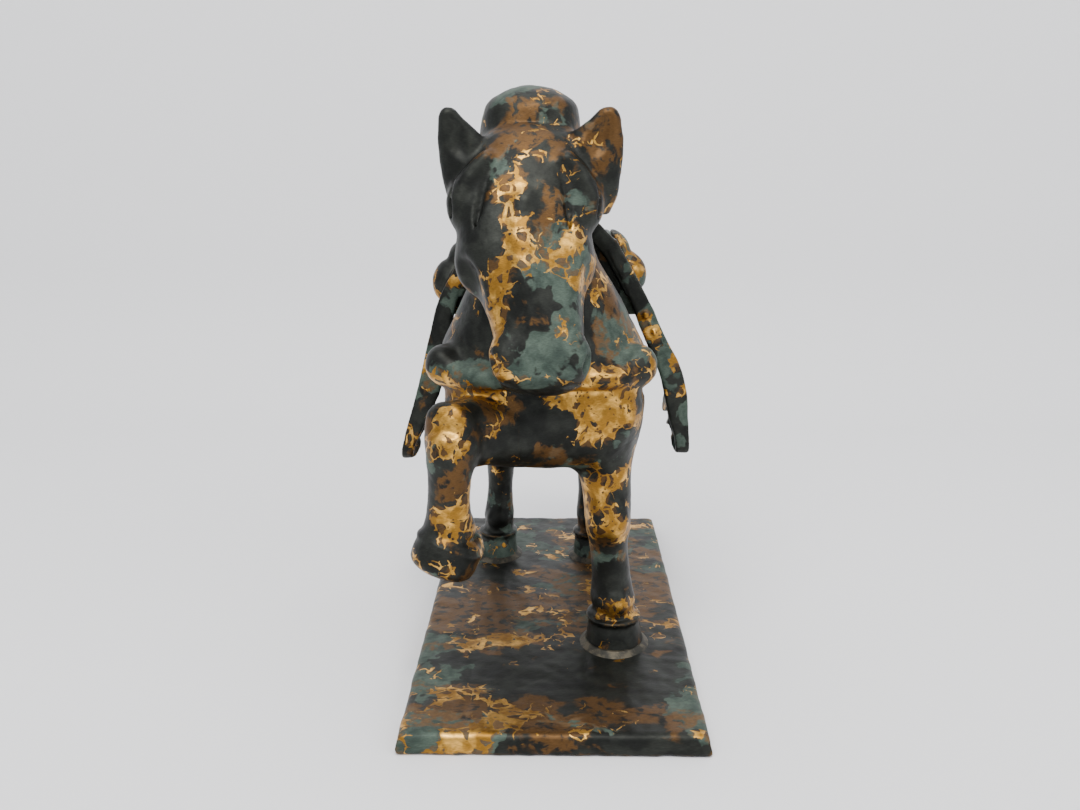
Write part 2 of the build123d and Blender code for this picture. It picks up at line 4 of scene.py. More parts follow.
import bpy
import numpy as np
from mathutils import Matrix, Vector


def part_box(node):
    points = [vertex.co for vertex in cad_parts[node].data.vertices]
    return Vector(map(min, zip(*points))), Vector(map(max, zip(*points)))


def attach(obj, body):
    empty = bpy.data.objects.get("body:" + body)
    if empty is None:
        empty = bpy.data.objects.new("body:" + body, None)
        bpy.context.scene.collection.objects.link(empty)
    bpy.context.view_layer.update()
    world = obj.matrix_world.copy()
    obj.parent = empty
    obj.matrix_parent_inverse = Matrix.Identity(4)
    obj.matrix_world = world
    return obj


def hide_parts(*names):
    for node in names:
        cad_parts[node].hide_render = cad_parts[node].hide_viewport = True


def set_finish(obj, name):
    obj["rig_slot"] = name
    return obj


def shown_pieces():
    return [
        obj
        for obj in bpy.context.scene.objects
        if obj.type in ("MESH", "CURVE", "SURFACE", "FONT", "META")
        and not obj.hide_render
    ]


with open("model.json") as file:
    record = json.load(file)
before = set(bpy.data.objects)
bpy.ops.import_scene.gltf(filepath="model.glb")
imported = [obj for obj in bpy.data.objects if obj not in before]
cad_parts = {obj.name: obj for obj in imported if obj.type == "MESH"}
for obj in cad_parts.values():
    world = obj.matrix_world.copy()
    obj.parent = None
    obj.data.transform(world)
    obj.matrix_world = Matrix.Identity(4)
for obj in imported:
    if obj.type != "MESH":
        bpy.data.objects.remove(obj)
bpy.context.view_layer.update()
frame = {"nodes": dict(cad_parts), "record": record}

MM = 0.001


def node_box(name):
    """A CAD node's box in millimetres."""
    lo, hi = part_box(name)
    return np.array(lo) / MM, np.array(hi) / MM


PLATE_LO, PLATE_HI = node_box("base_plate")
PLATE_TOP = PLATE_HI[2]
BODY_X = (node_box("tail")[0][0] + node_box("tail")[1][0]) / 2
LEG_JOINT_Z = node_box("foreleg_left")[1][2]
STEP = 0.7
FINE_STEP = STEP * 0.85
GRID_LO = np.array([-52.0, -88.0, PLATE_TOP - 1.0])
GRID_HI = np.array([44.0, 88.0, 208.0])


# Distance fields ----------------------------------------------------------------------------------
class Field:
    """Signed distances in millimetres on a regular grid."""

    def __init__(self, lo, hi, step):
        self.lo, self.step = np.array(lo, float), step
        count = np.ceil((np.array(hi) - self.lo) / step).astype(int) + 1
        self.axes = [(self.lo[i] + step * np.arange(count[i])).astype(np.float32) for i in range(3)]
        self.value = np.full(count, 20.0, np.float32)

    def region(self, lo, hi):
        """Slices and coordinates of the grid inside a box."""
        cuts = []
        for i in range(3):
            a, b = np.searchsorted(self.axes[i], [lo[i], hi[i]])
            cuts.append(slice(int(a), int(b)))
        x = self.axes[0][cuts[0]][:, None, None]
        y = self.axes[1][cuts[1]][None, :, None]
        z = self.axes[2][cuts[2]][None, None, :]
        return tuple(cuts), x, y, z

    def add(self, shape, box, blend=0.5):
        """Joins a shape on, softly."""
        cuts, x, y, z = self.region(*box)
        if min(c.stop - c.start for c in cuts) > 0:
            self.value[cuts] = soft_min(self.value[cuts], shape(x, y, z), blend)

    def carve(self, shape, box, blend=0.5):
        """Takes a shape away, softly."""
        cuts, x, y, z = self.region(*box)
        if min(c.stop - c.start for c in cuts) > 0:
            self.value[cuts] = -soft_min(-self.value[cuts], shape(x, y, z), blend)

    def at(self, points):
        """The field's value at points, from the nearest grid line."""
        index = np.rint((points - self.lo) / self.step).astype(int)
        index = np.clip(index, 0, np.array(self.value.shape) - 1)
        return self.value[index[:, 0], index[:, 1], index[:, 2]]


def soft_min(a, b, k):
    h = np.clip(0.5 + 0.5 * (a - b) / k, 0.0, 1.0)
    return (a * (1 - h) + b * h - k * h * (1 - h)).astype(np.float32)


def around(points, margin):
    points = np.array(points, float)
    return points.min(axis=0) - margin, points.max(axis=0) + margin


def smooth_table(knots, values):
    """A smooth curve through a table, as dense arrays for np.interp."""
    knots, values = np.array(knots, float), np.array(values, float)
    slope = np.gradient(values, knots)
    dense = np.linspace(knots[0], knots[-1], 400)
    i = np.clip(np.searchsorted(knots, dense, side="right") - 1, 0, len(knots) - 2)
    width = knots[i + 1] - knots[i]
    s = (dense - knots[i]) / width
    made = (2 * s**3 - 3 * s**2 + 1) * values[i] + (s**3 - 2 * s**2 + s) * width * slope[i]
    made += (-2 * s**3 + 3 * s**2) * values[i + 1] + (s**3 - s**2) * width * slope[i + 1]
    return dense, made


def limb(origin, run, side, rows, caps=(3.0, 3.0), power=2.0):
    """A rounded limb. Rows are distance along it, offset to the side, offset up, half-width, reach up and
    reach down, all measured in the limb's own directions."""
    origin, run, side = (np.array(v, float) for v in (origin, run, side))
    run /= np.linalg.norm(run)
    side -= run * (side @ run)
    side /= np.linalg.norm(side)
    up = np.cross(side, run)
    rows = np.array(rows, float)
    tables = [smooth_table(rows[:, 0], rows[:, i]) for i in range(1, 6)]
    first, last = rows[0, 0], rows[-1, 0]

    def shape(x, y, z):
        px, py, pz = x - origin[0], y - origin[1], z - origin[2]
        t = px * run[0] + py * run[1] + pz * run[2]
        u = px * side[0] + py * side[1] + pz * side[2]
        v = px * up[0] + py * up[1] + pz * up[2]
        cu, cv, w, above, below = (np.interp(t, *table).astype(np.float32) for table in tables)
        near = np.clip((t - first) / caps[0], 0, 1)
        far = np.clip((last - t) / caps[1], 0, 1)
        round_near, round_far = (np.sqrt(np.clip(1 - (1 - end) ** 2, 1e-4, 1)) for end in (near, far))
        round_off = round_near * round_far
        w = w * round_off
        tall = np.where(v > cv, above, below) * round_off
        reach = (np.abs((u - cu) / w) ** power + np.abs((v - cv) / tall) ** power) ** (1 / power)
        side_gap = (reach - 1) * np.minimum(w, tall)
        beyond = np.maximum(first - t, t - last)
        past_end = np.sqrt(beyond**2 + np.maximum(side_gap, 0) ** 2)
        return np.where(beyond > 0, past_end, side_gap).astype(np.float32)

    return shape


def egg(centre, radii, axes=None):
    """An ellipsoid. Axes are its own three directions, as rows."""
    centre, radii = np.array(centre, float), np.array(radii, float)
    turn = np.eye(3) if axes is None else np.array([a / np.linalg.norm(a) for a in np.array(axes, float)])

    def shape(x, y, z):
        p = (x - centre[0], y - centre[1], z - centre[2])
        local = [sum(p[j] * turn[i][j] for j in range(3)) for i in range(3)]
        near = np.sqrt(sum((local[i] / radii[i]) ** 2 for i in range(3)))
        grad = np.sqrt(sum((local[i] / radii[i] ** 2) ** 2 for i in range(3))) + 1e-6
        return (near * (near - 1) / grad).astype(np.float32)

    return shape


def strand(path, radii):
    """A round bar along a path, with a radius at each point."""
    path, radii = np.array(path, float), np.array(radii, float)

    def shape(x, y, z):
        best = None
        for a, b, ra, rb in zip(path[:-1], path[1:], radii[:-1], radii[1:]):
            d = b - a
            s = ((x - a[0]) * d[0] + (y - a[1]) * d[1] + (z - a[2]) * d[2]) / (d @ d)
            s = np.clip(s, 0, 1)
            away = (x - a[0] - s * d[0], y - a[1] - s * d[1], z - a[2] - s * d[2])
            gap = np.sqrt(away[0] ** 2 + away[1] ** 2 + away[2] ** 2) - (ra + s * (rb - ra))
            best = gap if best is None else np.minimum(best, gap)
        return best.astype(np.float32)

    return shape


def bend(points, count=24):
    """A smooth path through points."""
    points = np.array(points, float)
    knots = np.arange(len(points))
    dense = np.linspace(0, len(points) - 1, count)
    return np.stack([np.interp(dense, *smooth_table(knots, column)) for column in points.T], axis=1)


def circle(count):
    """Angles once round a circle, the last the same as the first."""
    return np.linspace(0, 2 * math.pi, count)


def add_egg(field, centre, radii, margin, blend, axes=None):
    """Joins an ellipsoid on, worked out only within the margin of its centre."""
    field.add(egg(centre, radii, axes), around([centre], margin), blend)


def bar(field, path, radii, blend, carve=False, count=24):
    """Adds or carves a smooth round bar through points."""
    line = bend([list(p) + [r] for p, r in zip(path, radii)], count)
    box = around(line[:, :3], max(radii) + 2 * blend + 2)
    act = field.carve if carve else field.add
    act(strand(line[:, :3], line[:, 3]), box, blend)


# Meshing --------------------------------------------------------------------------------------------
CORNERS = np.array([[i >> 2 & 1, i >> 1 & 1, i & 1] for i in range(8)])
EDGES = [(a, b) for a in range(8) for b in range(a + 1, 8) if np.abs(CORNERS[a] - CORNERS[b]).sum() == 1]


def surface(field):
    """Vertices and quads of the field's zero surface."""
    f = field.value
    cells = np.array(f.shape) - 1
    corner = [f[c[0] : c[0] + cells[0], c[1] : c[1] + cells[1], c[2] : c[2] + cells[2]] for c in CORNERS]
    inside = sum((c < 0).astype(np.uint8) for c in corner)
    active = (inside > 0) & (inside < 8)
    where = np.argwhere(active)
    values = np.stack([c[active] for c in corner], axis=1)
    total, count = np.zeros((len(where), 3)), np.zeros(len(where))
    for a, b in EDGES:
        va, vb = values[:, a], values[:, b]
        crossing = (va < 0) != (vb < 0)
        s = np.where(crossing, va / np.where(crossing, va - vb, 1), 0)[:, None]
        total += np.where(crossing[:, None], CORNERS[a] + s * (CORNERS[b] - CORNERS[a]), 0)
        count += crossing
    points = field.lo + field.step * (where + total / count[:, None])
    index = np.full(cells, -1, np.int32)
    index[active] = np.arange(len(where))
    quads = []
    for axis in range(3):
        one, two = [i for i in range(3) if i != axis]
        low = [slice(1, cells[i]) if i != axis else slice(0, cells[i]) for i in range(3)]
        high = list(low)
        high[axis] = slice(1, cells[axis] + 1)
        start, end = f[tuple(low)] < 0, f[tuple(high)] < 0
        edge = np.argwhere(start != end)
        leaving = start[tuple(edge.T)]
        at = edge.copy()
        at[:, one] += 1
        at[:, two] += 1
        ring = []
        for d1, d2 in ((0, 0), (1, 0), (1, 1), (0, 1)):
            c = at.copy()
            c[:, one] -= d1
            c[:, two] -= d2
            ring.append(index[tuple(c.T)])
        quad = np.stack(ring, axis=1)
        turn = leaving if axis != 1 else ~leaving
        quad[~turn] = quad[~turn][:, ::-1]
        quads.append(quad)
    return points, np.concatenate(quads)


def vertex_normals(points, faces):
    """Smooth normals, weighted by face area."""
    a, b, c, d = (points[faces[:, i]] for i in range(4))
    face_normal = np.cross(c - a, d - b)
    made = np.zeros_like(points)
    for i in range(4):
        np.add.at(made, faces[:, i], face_normal)
    return made / np.maximum(np.linalg.norm(made, axis=1, keepdims=True), 1e-9)


def relax(points, faces, rounds, amount=0.5):
    """Evens out the grid's stepping."""
    ends = np.concatenate([faces[:, [i, (i + 1) % 4]] for i in range(4)])
    for _ in range(rounds):
        total, count = np.zeros_like(points), np.zeros(len(points))
        np.add.at(total, ends[:, 0], points[ends[:, 1]])
        np.add.at(count, ends[:, 0], 1)
        points = points + amount * (total / np.maximum(count, 1)[:, None] - points)
    return points


def lumps(points, size, seed):
    """Smooth random bumps between -1 and 1, the same for the same seed."""
    made = np.zeros(len(points))
    chance = np.random.RandomState(seed)
    for _ in range(9):
        way = chance.normal(size=3)
        way /= np.linalg.norm(way)
        rate = 2 * math.pi / size * (0.6 + 0.8 * chance.rand())
        start = 6.28 * chance.rand()
        made += np.sin(points @ way * rate + start + 1.3 * np.sin(points @ way[::-1] * rate * 0.7))
    return made / 5


def hand_finish(points, faces, depth=0.16):
    """The slightly uneven skin of a filed casting."""
    normal = vertex_normals(points, faces)
    rise = depth * (lumps(points, 16, 3) + 0.6 * lumps(points, 7, 5)) + 0.25 * depth * lumps(points, 2.6, 8)
    return points + normal * rise[:, None]


# Where the patina has worn to gold, greened, darkened or gone rust brown: kind, place, radii and strength
GOLD, GREEN, DARK, RUST = range(4)
PATCHES = [
    (GREEN, (-8, -30, 203), (16, 14, 7), 0.9),
    (RUST, (-8, -42, 192), (13, 7, 8), 0.9),
    (RUST, (-12, -52, 176), (11, 10, 14), 0.9),
    (GOLD, (-10, -54, 172), (8, 10, 9), 0.45),
    (DARK, (-30, -50, 160), (12, 16, 16), 1.0),
    (GOLD, (-15, -64, 146), (6, 10, 20), 0.65),
    (GOLD, (-18, -66, 126), (5, 9, 10), 0.55),
    (GREEN, (2, -66, 150), (9, 12, 16), 0.8),
    (GREEN, (2, -76, 122), (10, 12, 14), 1.0),
    (GOLD, (13, -50, 154), (8, 14, 14), 0.55),
    (DARK, (-6, -70, 108), (12, 14, 5), 0.7),
    (DARK, (-36, -44, 186), (12, 10, 16), 0.7),
    (RUST, (18, -49, 186), (9, 6, 14), 0.8),
    (GREEN, (-30, -50, 113), (14, 10, 5), 1.0),
    (RUST, (-30, -46, 103), (12, 12, 7), 0.9),
    (GOLD, (20, -46, 104), (15, 14, 13), 1.0),
    (DARK, (-24, -46, 122), (10, 10, 8), 0.6),
    (RUST, (-24, -42, 134), (8, 10, 10), 0.8),
    (RUST, (14, -40, 134), (9, 10, 14), 0.9),
    (GREEN, (18, -44, 122), (12, 12, 7), 0.7),
    (DARK, (-4, -50, 88), (10, 12, 9), 0.4),
    (RUST, (-14, -48, 97), (12, 10, 7), 0.8),
    (RUST, (2, -50, 82), (10, 12, 6), 0.8),
    (GOLD, (-2, -50, 104), (10, 10, 5), 0.35),
    (GOLD, (-36, -72, 96), (7, 8, 7), 0.5),
    (GOLD, (-30, -60, 104), (12, 16, 4), 0.45),
    (GOLD, (-36, -70, 70), (8, 8, 16), 0.4),
    (RUST, (-36, -68, 80), (8, 8, 10), 0.6),
    (GOLD, (18, -40, 62), (9, 9, 12), 0.75),
    (RUST, (18, -38, 44), (9, 9, 10), 0.8),
    (DARK, (20, -36, 30), (10, 10, 8), 0.8),
    (GOLD, (22, -42, 21), (9, 7, 5), 0.8),
    (GREEN, (-47, 10, 120), (14, 40, 40), 0.4),
    (GREEN, (40, 10, 130), (14, 40, 30), 0.5),
    (GOLD, (-46, 0, 138), (10, 16, 10), 0.4),
    (GOLD, (32, 0, 142), (10, 16, 10), 0.4),
    (GREEN, (-36, -88, 7), (18, 14, 8), 0.7),
    (GOLD, (-26, -80, 7), (16, 14, 8), 0.4),
    (RUST, (-22, -84, 7), (22, 14, 8), 0.7),
    (DARK, (-4, -62, 7), (24, 12, 8), 0.9),
    (RUST, (-24, -14, 7), (24, 22, 8), 0.9),
    (GOLD, (-14, -34, 7), (22, 7, 8), 0.4),
    (RUST, (20, 20, 7), (20, 24, 8), 0.6),
    (GREEN, (-40, -48, 7), (12, 16, 8), 0.9),
    (RUST, (14, -84, 7), (30, 12, 8), 0.8),
    (DARK, (34, -74, 7), (14, 12, 8), 0.7),
    (GOLD, (-10, -99, 5), (40, 6, 6), 0.3),
    (GREEN, (-44, -99, 5), (16, 6, 6), 0.8),
    (DARK, (20, -99, 3), (30, 5, 4), 0.6),
    (GREEN, (44, -84, 7), (10, 16, 8), 0.9),
    (RUST, (38, 20, 7), (20, 40, 8), 0.6),
    (GREEN, (0, 60, 7), (40, 20, 8), 0.6),
    (GOLD, (33.6, -9, 125.3), (2.2, 4, 2.2), 2.0),
    (GOLD, (36.9, -9, 118.8), (1.8, 4, 1.8), 2.0),
    (GOLD, (45, -8, 112), (2.6, 4, 7), 1.0),
    (GOLD, (-49, -8, 100), (2.6, 4, 12), 0.8),
    (GOLD, (30, 46, 110), (16, 26, 26), 0.5),
    (GREEN, (-34, 46, 110), (16, 26, 26), 0.6),
]


def patches(place):
    """How strongly each kind of patch shows at each point."""
    made = np.zeros((len(place), 4))
    for kind, middle, radii, strength in PATCHES:
        reach = (((place - np.array(middle)) / np.array(radii)) ** 2).sum(axis=1)
        made[:, kind] += strength * np.exp(-0.7 * reach)
    return np.clip(made, 0, 1)


# How far a cut's cap goes straight in before it closes, in millimetres
CAP_SINK = 3.0


def piece(name, points, faces, normals, chosen, slot, nodes):
    """One object from the chosen faces, each cut closed by a cap that first goes straight in."""
    part = faces[chosen]
    used, flat = np.unique(part, return_inverse=True)
    part = flat.reshape(part.shape)
    place, facing = points[used], normals[used]
    ends = np.concatenate([part[:, [i, (i + 1) % 4]] for i in range(4)])
    paired = set(map(tuple, ends.tolist()))
    rim = {}
    for a, b in ends.tolist():
        if (b, a) not in paired:
            rim.setdefault(b, []).append(a)
    quads, extra = part.tolist(), []
    while rim:
        start = next(iter(rim))
        loop, here = [start], start
        while here in rim:
            onward = rim[here].pop()
            if not rim[here]:
                del rim[here]
            if onward == start:
                break
            loop.append(onward)
            here = onward
        sunk = place[loop] - facing[loop] * CAP_SINK
        ring = len(place) + len(extra)
        hub = ring + len(loop)
        extra += [*sunk, sunk.mean(axis=0)]
        for i, start in enumerate(loop):
            j = (i + 1) % len(loop)
            quads += [[start, loop[j], ring + j, ring + i], [ring + i, ring + j, hub]]
    if extra:
        place = np.concatenate([place, np.array(extra)])
        facing = np.concatenate([facing, np.tile([0.0, 0.0, 1.0], (len(extra), 1))])
    mesh = bpy.data.meshes.new(name)
    mesh.from_pydata((place * MM).tolist(), [], quads)
    mesh.update()
    mesh.shade_smooth()
    mesh.normals_split_custom_set_from_vertices(facing.tolist())
    patina = mesh.attributes.new("patina", "FLOAT_COLOR", "POINT")
    patina.data.foreach_set("color", patches(place).astype(np.float32).ravel())
    made = bpy.data.objects.new(name, mesh)
    bpy.context.scene.collection.objects.link(made)
    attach(made, "root")
    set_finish(made, slot)
    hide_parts(*nodes)
    return made


# The horse ------------------------------------------------------------------------------------------
horse = Field(GRID_LO, GRID_HI, STEP)
UP, BACK, RIGHT = (0, 0, 1), (0, 1, 0), (1, 0, 0)


def upright(rows, caps=(3.0, 3.0), power=2.0):
    """Rows of height, x, y, half-width, half-depth, as a limb that stands up."""
    return limb((0, 0, 0), UP, RIGHT, [(z, x, -y, w, d, d) for z, x, y, w, d in rows], caps, power)


# Barrel and chest: y, height, half-width, reach up, reach down
TRUNK = [
    (-54.0, 97.0, 20.0, 14.0, 12.5),
    (-50.0, 98.0, 27.5, 19.0, 17.5),
    (-44.0, 99.0, 32.5, 27.0, 21.5),
    (-34.0, 102.0, 34.5, 33.0, 27.5),
    (-18.0, 103.0, 35.0, 34.5, 31.5),
    (2.0, 103.0, 35.0, 31.0, 32.5),
    (20.0, 104.0, 35.5, 30.5, 32.5),
    (36.0, 105.0, 36.0, 32.5, 29.0),
    (48.0, 106.0, 33.5, 31.5, 25.0),
    (57.0, 107.0, 27.5, 26.0, 21.0),
    (65.5, 107.0, 19.0, 18.0, 16.0),
]
trunk_rows = [(y, 0, z, w, up, down) for y, z, w, up, down in TRUNK]
trunk_shape = limb((BODY_X, 0, 0), BACK, RIGHT, trunk_rows, (8.0, 12.0), 2.25)
horse.add(trunk_shape, ((-48, -62, 62), (40, 72, 145)))

# Standing legs: height, distance out, y, half-width, half-depth
FORELEG = [
    (7.0, 26.4, -34.2, 10.6, 11.6),
    (12.0, 26.2, -33.8, 9.9, 10.7),
    (16.5, 26.0, -33.2, 9.0, 9.6),
    (20.0, 25.9, -32.6, 7.7, 8.5),
    (24.0, 25.8, -32.8, 8.2, 8.8),
    (29.0, 25.4, -32.6, 7.5, 8.1),
    (37.0, 24.6, -33.0, 6.9, 7.4),
    (46.0, 23.8, -33.6, 7.1, 7.6),
    (54.0, 23.4, -34.2, 8.2, 9.0),
    (60.0, 23.2, -34.0, 8.4, 9.2),
    (68.0, 22.6, -33.2, 8.8, 9.9),
    (76.0, 21.8, -32.0, 10.2, 12.0),
    (88.0, 19.5, -30.0, 14.0, 15.0),
    (102.0, 17.0, -28.0, 16.0, 18.0),
]
HIND_LEG = [
    (7.0, 21.5, 50.0, 8.9, 10.8),
    (12.0, 21.4, 50.8, 8.3, 10.0),
    (16.5, 21.2, 52.0, 7.6, 8.8),
    (20.5, 21.0, 53.0, 6.4, 7.2),
    (25.0, 20.9, 53.4, 6.8, 7.8),
    (30.0, 20.6, 54.0, 6.1, 7.0),
    (38.0, 20.4, 55.6, 5.5, 6.5),
    (46.0, 20.2, 56.8, 6.0, 8.0),
    (53.0, 20.0, 56.4, 6.8, 9.8),
    (61.0, 19.6, 52.8, 7.2, 9.6),
    (69.0, 19.0, 48.0, 9.2, 12.0),
    (80.0, 18.0, 43.5, 12.5, 15.5),
    (92.0, 16.5, 41.0, 15.5, 18.5),
    (104.0, 14.5, 40.0, 17.0, 20.0),
]
INTO_PLATE = 2.5
CORONET_Z, CORONET_OUT, CORONET_RADIUS = 17.6, 0.4, 0.9
HEEL_Z, FETLOCK_Z = 22.5, 24.5
for side, leg in ((1, FORELEG), (1, HIND_LEG), (-1, HIND_LEG)):
    leg = [(z, BODY_X + side * x, y, w, d) for z, x, y, w, d in leg]
    path = [(x, y, z) for z, x, y, w, d in leg]
    sunk_foot = (leg[0][0] - INTO_PLATE,) + leg[0][1:]
    horse.add(upright([sunk_foot] + leg), around(path, 24), 7.0)
    foot, pastern, fetlock = leg[2:5]
    wide, deep = foot[3] + CORONET_OUT, foot[4] + CORONET_OUT
    ring = [(foot[1] + wide * math.cos(a), foot[2] + deep * math.sin(a), CORONET_Z) for a in circle(25)]
    bar(horse, ring, [CORONET_RADIUS] * 25, 1.2, count=49)
    add_egg(horse, (pastern[1], pastern[2] + pastern[4] - 1.0, HEEL_Z), (4.2, 3.4, 4.2), 9, 3.0)
    front = (fetlock[1] + side * 0.6, fetlock[2] - fetlock[4] + 1.6, FETLOCK_Z)
    add_egg(horse, front, (4.4, 3.0, 4.6), 9, 2.4)
KNEE = (BODY_X + 23.2, -41.0, 58.0)
add_egg(horse, KNEE, (6.6, 4.2, 7.0), 12, 3.5)
for side in (-1, 1):
    hock = (BODY_X + side * 20.2, 64.4, 55.0)
    add_egg(horse, hock, (3.4, 3.2, 5.6), 10, 3.5)
    stifle = (BODY_X + side * 27.0, 36.0, 92.0)
    add_egg(horse, stifle, (8.0, 15.0, 15.0), 20, 9.0)
    elbow = (BODY_X + side * 24.0, -23.0, 94.0)
    add_egg(horse, elbow, (8.0, 12.0, 14.0), 20, 7.0)

# Neck cone with its shelf over the chest: height, x, y, half-width, half-depth
NECK = [
    (106.5, -4.2, -20.0, 36.0, 32.0),
    (112.0, -4.2, -21.0, 37.0, 32.5),
    (117.0, -4.2, -22.5, 36.0, 30.0),
    (123.0, -4.4, -24.0, 33.2, 26.5),
    (130.0, -4.5, -26.0, 29.8, 23.2),
    (138.0, -4.9, -27.8, 25.8, 20.0),
    (147.0, -5.6, -29.2, 20.8, 17.8),
    (160.0, -7.0, -30.4, 18.2, 17.2),
    (175.0, -8.2, -30.4, 16.6, 16.8),
    (190.0, -8.0, -28.0, 14.6, 14.2),
]
horse.add(upright(NECK, (5.0, 8.0), 2.15), ((-46, -58, 98), (38, 18, 200)), 1.6)
for side in (-1, 1):
    knob = (BODY_X + side * 33.5 - 0.6, -40.5, 113.5)
    add_egg(horse, knob, (6.0, 6.5, 6.6), 14, 4.0)
FOLD = [
    (BODY_X - 34.0, -41.0, 111.5),
    (BODY_X - 25.0, -48.0, 110.5),
    (BODY_X - 12.0, -52.0, 110.5),
    (BODY_X + 12.0, -52.0, 110.5),
    (BODY_X + 25.0, -48.0, 110.5),
    (BODY_X + 33.0, -41.0, 111.5),
]
bar(horse, FOLD, [4.6, 4.0, 3.6, 3.6, 4.0, 4.6], 3.0)

# Crown, the bound forelock on top of the poll: height, x, y, half-width, half-depth
CROWN_MIDDLE = (-8.0, -26.5, 189.5)
CROWN = [
    (174.0, -8.0, -27.0, 16.5, 13.0),
    (184.0, -8.4, -27.0, 17.4, 14.0),
    (192.0, -8.3, -27.0, 16.8, 14.0),
    (198.0, -8.0, -26.6, 15.6, 13.4),
    (205.2, -8.0, -26.0, 13.6, 12.0),
]
horse.add(upright(CROWN, (3.0, 8.0), 2.2), around([CROWN_MIDDLE], 26), 3.0)

# Tail, with the grooves of its binding: y, height and radius down its middle
TAIL = [
    (62.0, 118.5, 5.2),
    (68.5, 119.2, 5.0),
    (74.2, 114.5, 5.6),
    (76.8, 105.5, 6.3),
    (76.9, 96.0, 6.0),
    (75.6, 87.0, 4.6),
    (74.6, 82.0, 2.4),
]
tail_path = [(BODY_X, y, z) for y, z, r in TAIL]
bar(horse, tail_path, [r for y, z, r in TAIL], 3.5)
for turn in np.linspace(0.12, 0.5, 4):
    at = bend(tail_path, 40)[int(turn * 39)]
    ring = [at + np.array([6.0 * math.cos(a), 2.7 * math.sin(a), 5.4 * math.sin(a)]) for a in circle(17)]
    bar(horse, ring, [0.55] * 17, 0.8, carve=True, count=33)

# Mane: a row of locks down the back of the neck, from the crown to the withers
MANE_TOP, MANE_FALL, MANE_DRIFT = 199.0, 55.0, 3.6
for s in np.linspace(0, 1, 9):
    top = (-8.0 + MANE_DRIFT * s, -13.6 + 5.0 * s - 3.0 * (1 - s) ** 3, MANE_TOP - MANE_FALL * s)
    low = (top[0], top[1] + 2.6, top[2] - 9.0)
    bar(horse, [top, (top[0], top[1] + 2.8, top[2] - 4.5), low], [2.6, 3.0, 1.4], 1.2, count=8)

# Head: distance down the face, x, half-width, reach forward, reach back
POLL, CHIN = np.array([0.0, -36.5, 184.0]), np.array([0.0, -70.0, 112.0])
FACE_RUN = (CHIN - POLL) / np.linalg.norm(CHIN - POLL)
FACE_OUT = np.cross((1, 0, 0), FACE_RUN)
if FACE_OUT[1] > 0:
    FACE_OUT = -FACE_OUT
HEAD = [
    (-6.0, -8.7, 12.5, 9.0, 9.0),
    (0.0, -8.7, 15.0, 12.0, 12.0),
    (8.0, -9.0, 19.4, 14.4, 16.0),
    (16.0, -9.4, 21.6, 15.2, 18.0),
    (24.0, -9.8, 22.0, 15.2, 18.0),
    (32.0, -10.2, 21.2, 15.0, 17.0),
    (39.0, -9.6, 20.8, 14.6, 15.5),
    (46.0, -8.2, 18.4, 13.8, 13.2),
    (54.0, -6.6, 15.8, 12.7, 11.8),
    (62.0, -5.3, 14.6, 12.0, 11.2),
    (70.0, -4.6, 14.9, 11.7, 10.8),
    (77.0, -4.2, 13.9, 10.4, 9.6),
    (82.0, -4.2, 12.0, 8.6, 8.0),
]


def on_face(down, out, forward):
    """A point on the head from its own distances, with x measured from the head's centre line."""
    middle = np.interp(down, [r[0] for r in HEAD], [r[1] for r in HEAD])
    return POLL + FACE_RUN * down + FACE_OUT * forward + np.array([middle + out, 0, 0])


HEAD_LO, HEAD_HI = (-46, -92, 100), (30, -6, 207)
head = Field(GRID_LO, GRID_HI, STEP)
upward = np.cross(RIGHT, FACE_RUN) @ FACE_OUT > 0
head_rows = [(t, x, 0, w) + ((out, back) if upward else (back, out)) for t, x, w, out, back in HEAD]
head.add(limb(POLL, FACE_RUN, RIGHT, head_rows, (7.0, 5.0), 2.6), (HEAD_LO, HEAD_HI))
FACE_AXES = [(1, 0, 0), FACE_RUN, FACE_OUT]
for side in (-1, 1):
    add_egg(head, on_face(20, side * 19.6, 4.0), (5.8, 8.6, 7.4), 16, 2.2, FACE_AXES)
    brow = [on_face(9, side * 13.0, 13.0), on_face(14, side * 17.6, 10.6), on_face(20, side * 20.4, 8.6)]
    bar(head, brow, [2.6, 3.0, 2.2], 3.0)
    add_egg(head, on_face(37, side * 15.0, -4.0), (7.6, 10.5, 11.0), 20, 3.0, FACE_AXES)
    hollow = on_face(51, side * 21.5, 5.0)
    head.carve(egg(hollow, (5.0, 11.0, 6.0), FACE_AXES), around([hollow], 18), 3.5)
    crease = [on_face(12, side * 11.0, 14.6), on_face(22, side * 13.4, 13.0), on_face(32, side * 14.4, 10.8)]
    bar(head, crease, [0.4, 0.9, 0.4], 2.0, carve=True)
    around_eye = [(math.cos(a), math.sin(a)) for a in circle(17)]
    lid = [on_face(19 + 6.2 * c, side * (23.2 - 0.5 * abs(c)), 5.6 + 3.4 * s) for c, s in around_eye]
    bar(head, lid, [0.55] * 17, 0.8, carve=True, count=49)
    add_egg(head, on_face(71, side * 10.4, 5.6), (5.2, 6.6, 5.0), 14, 3.0, FACE_AXES)
    nostril = on_face(73.5, side * 14.2, 6.6)
    head.carve(egg(nostril, (2.8, 3.0, 2.0), FACE_AXES), around([nostril], 9), 1.2)
nose_bridge = [on_face(24, 0, 12.6), on_face(44, 0, 11.4), on_face(62, 0, 9.0)]
bar(head, nose_bridge, [4.0, 4.4, 3.8], 4.0)
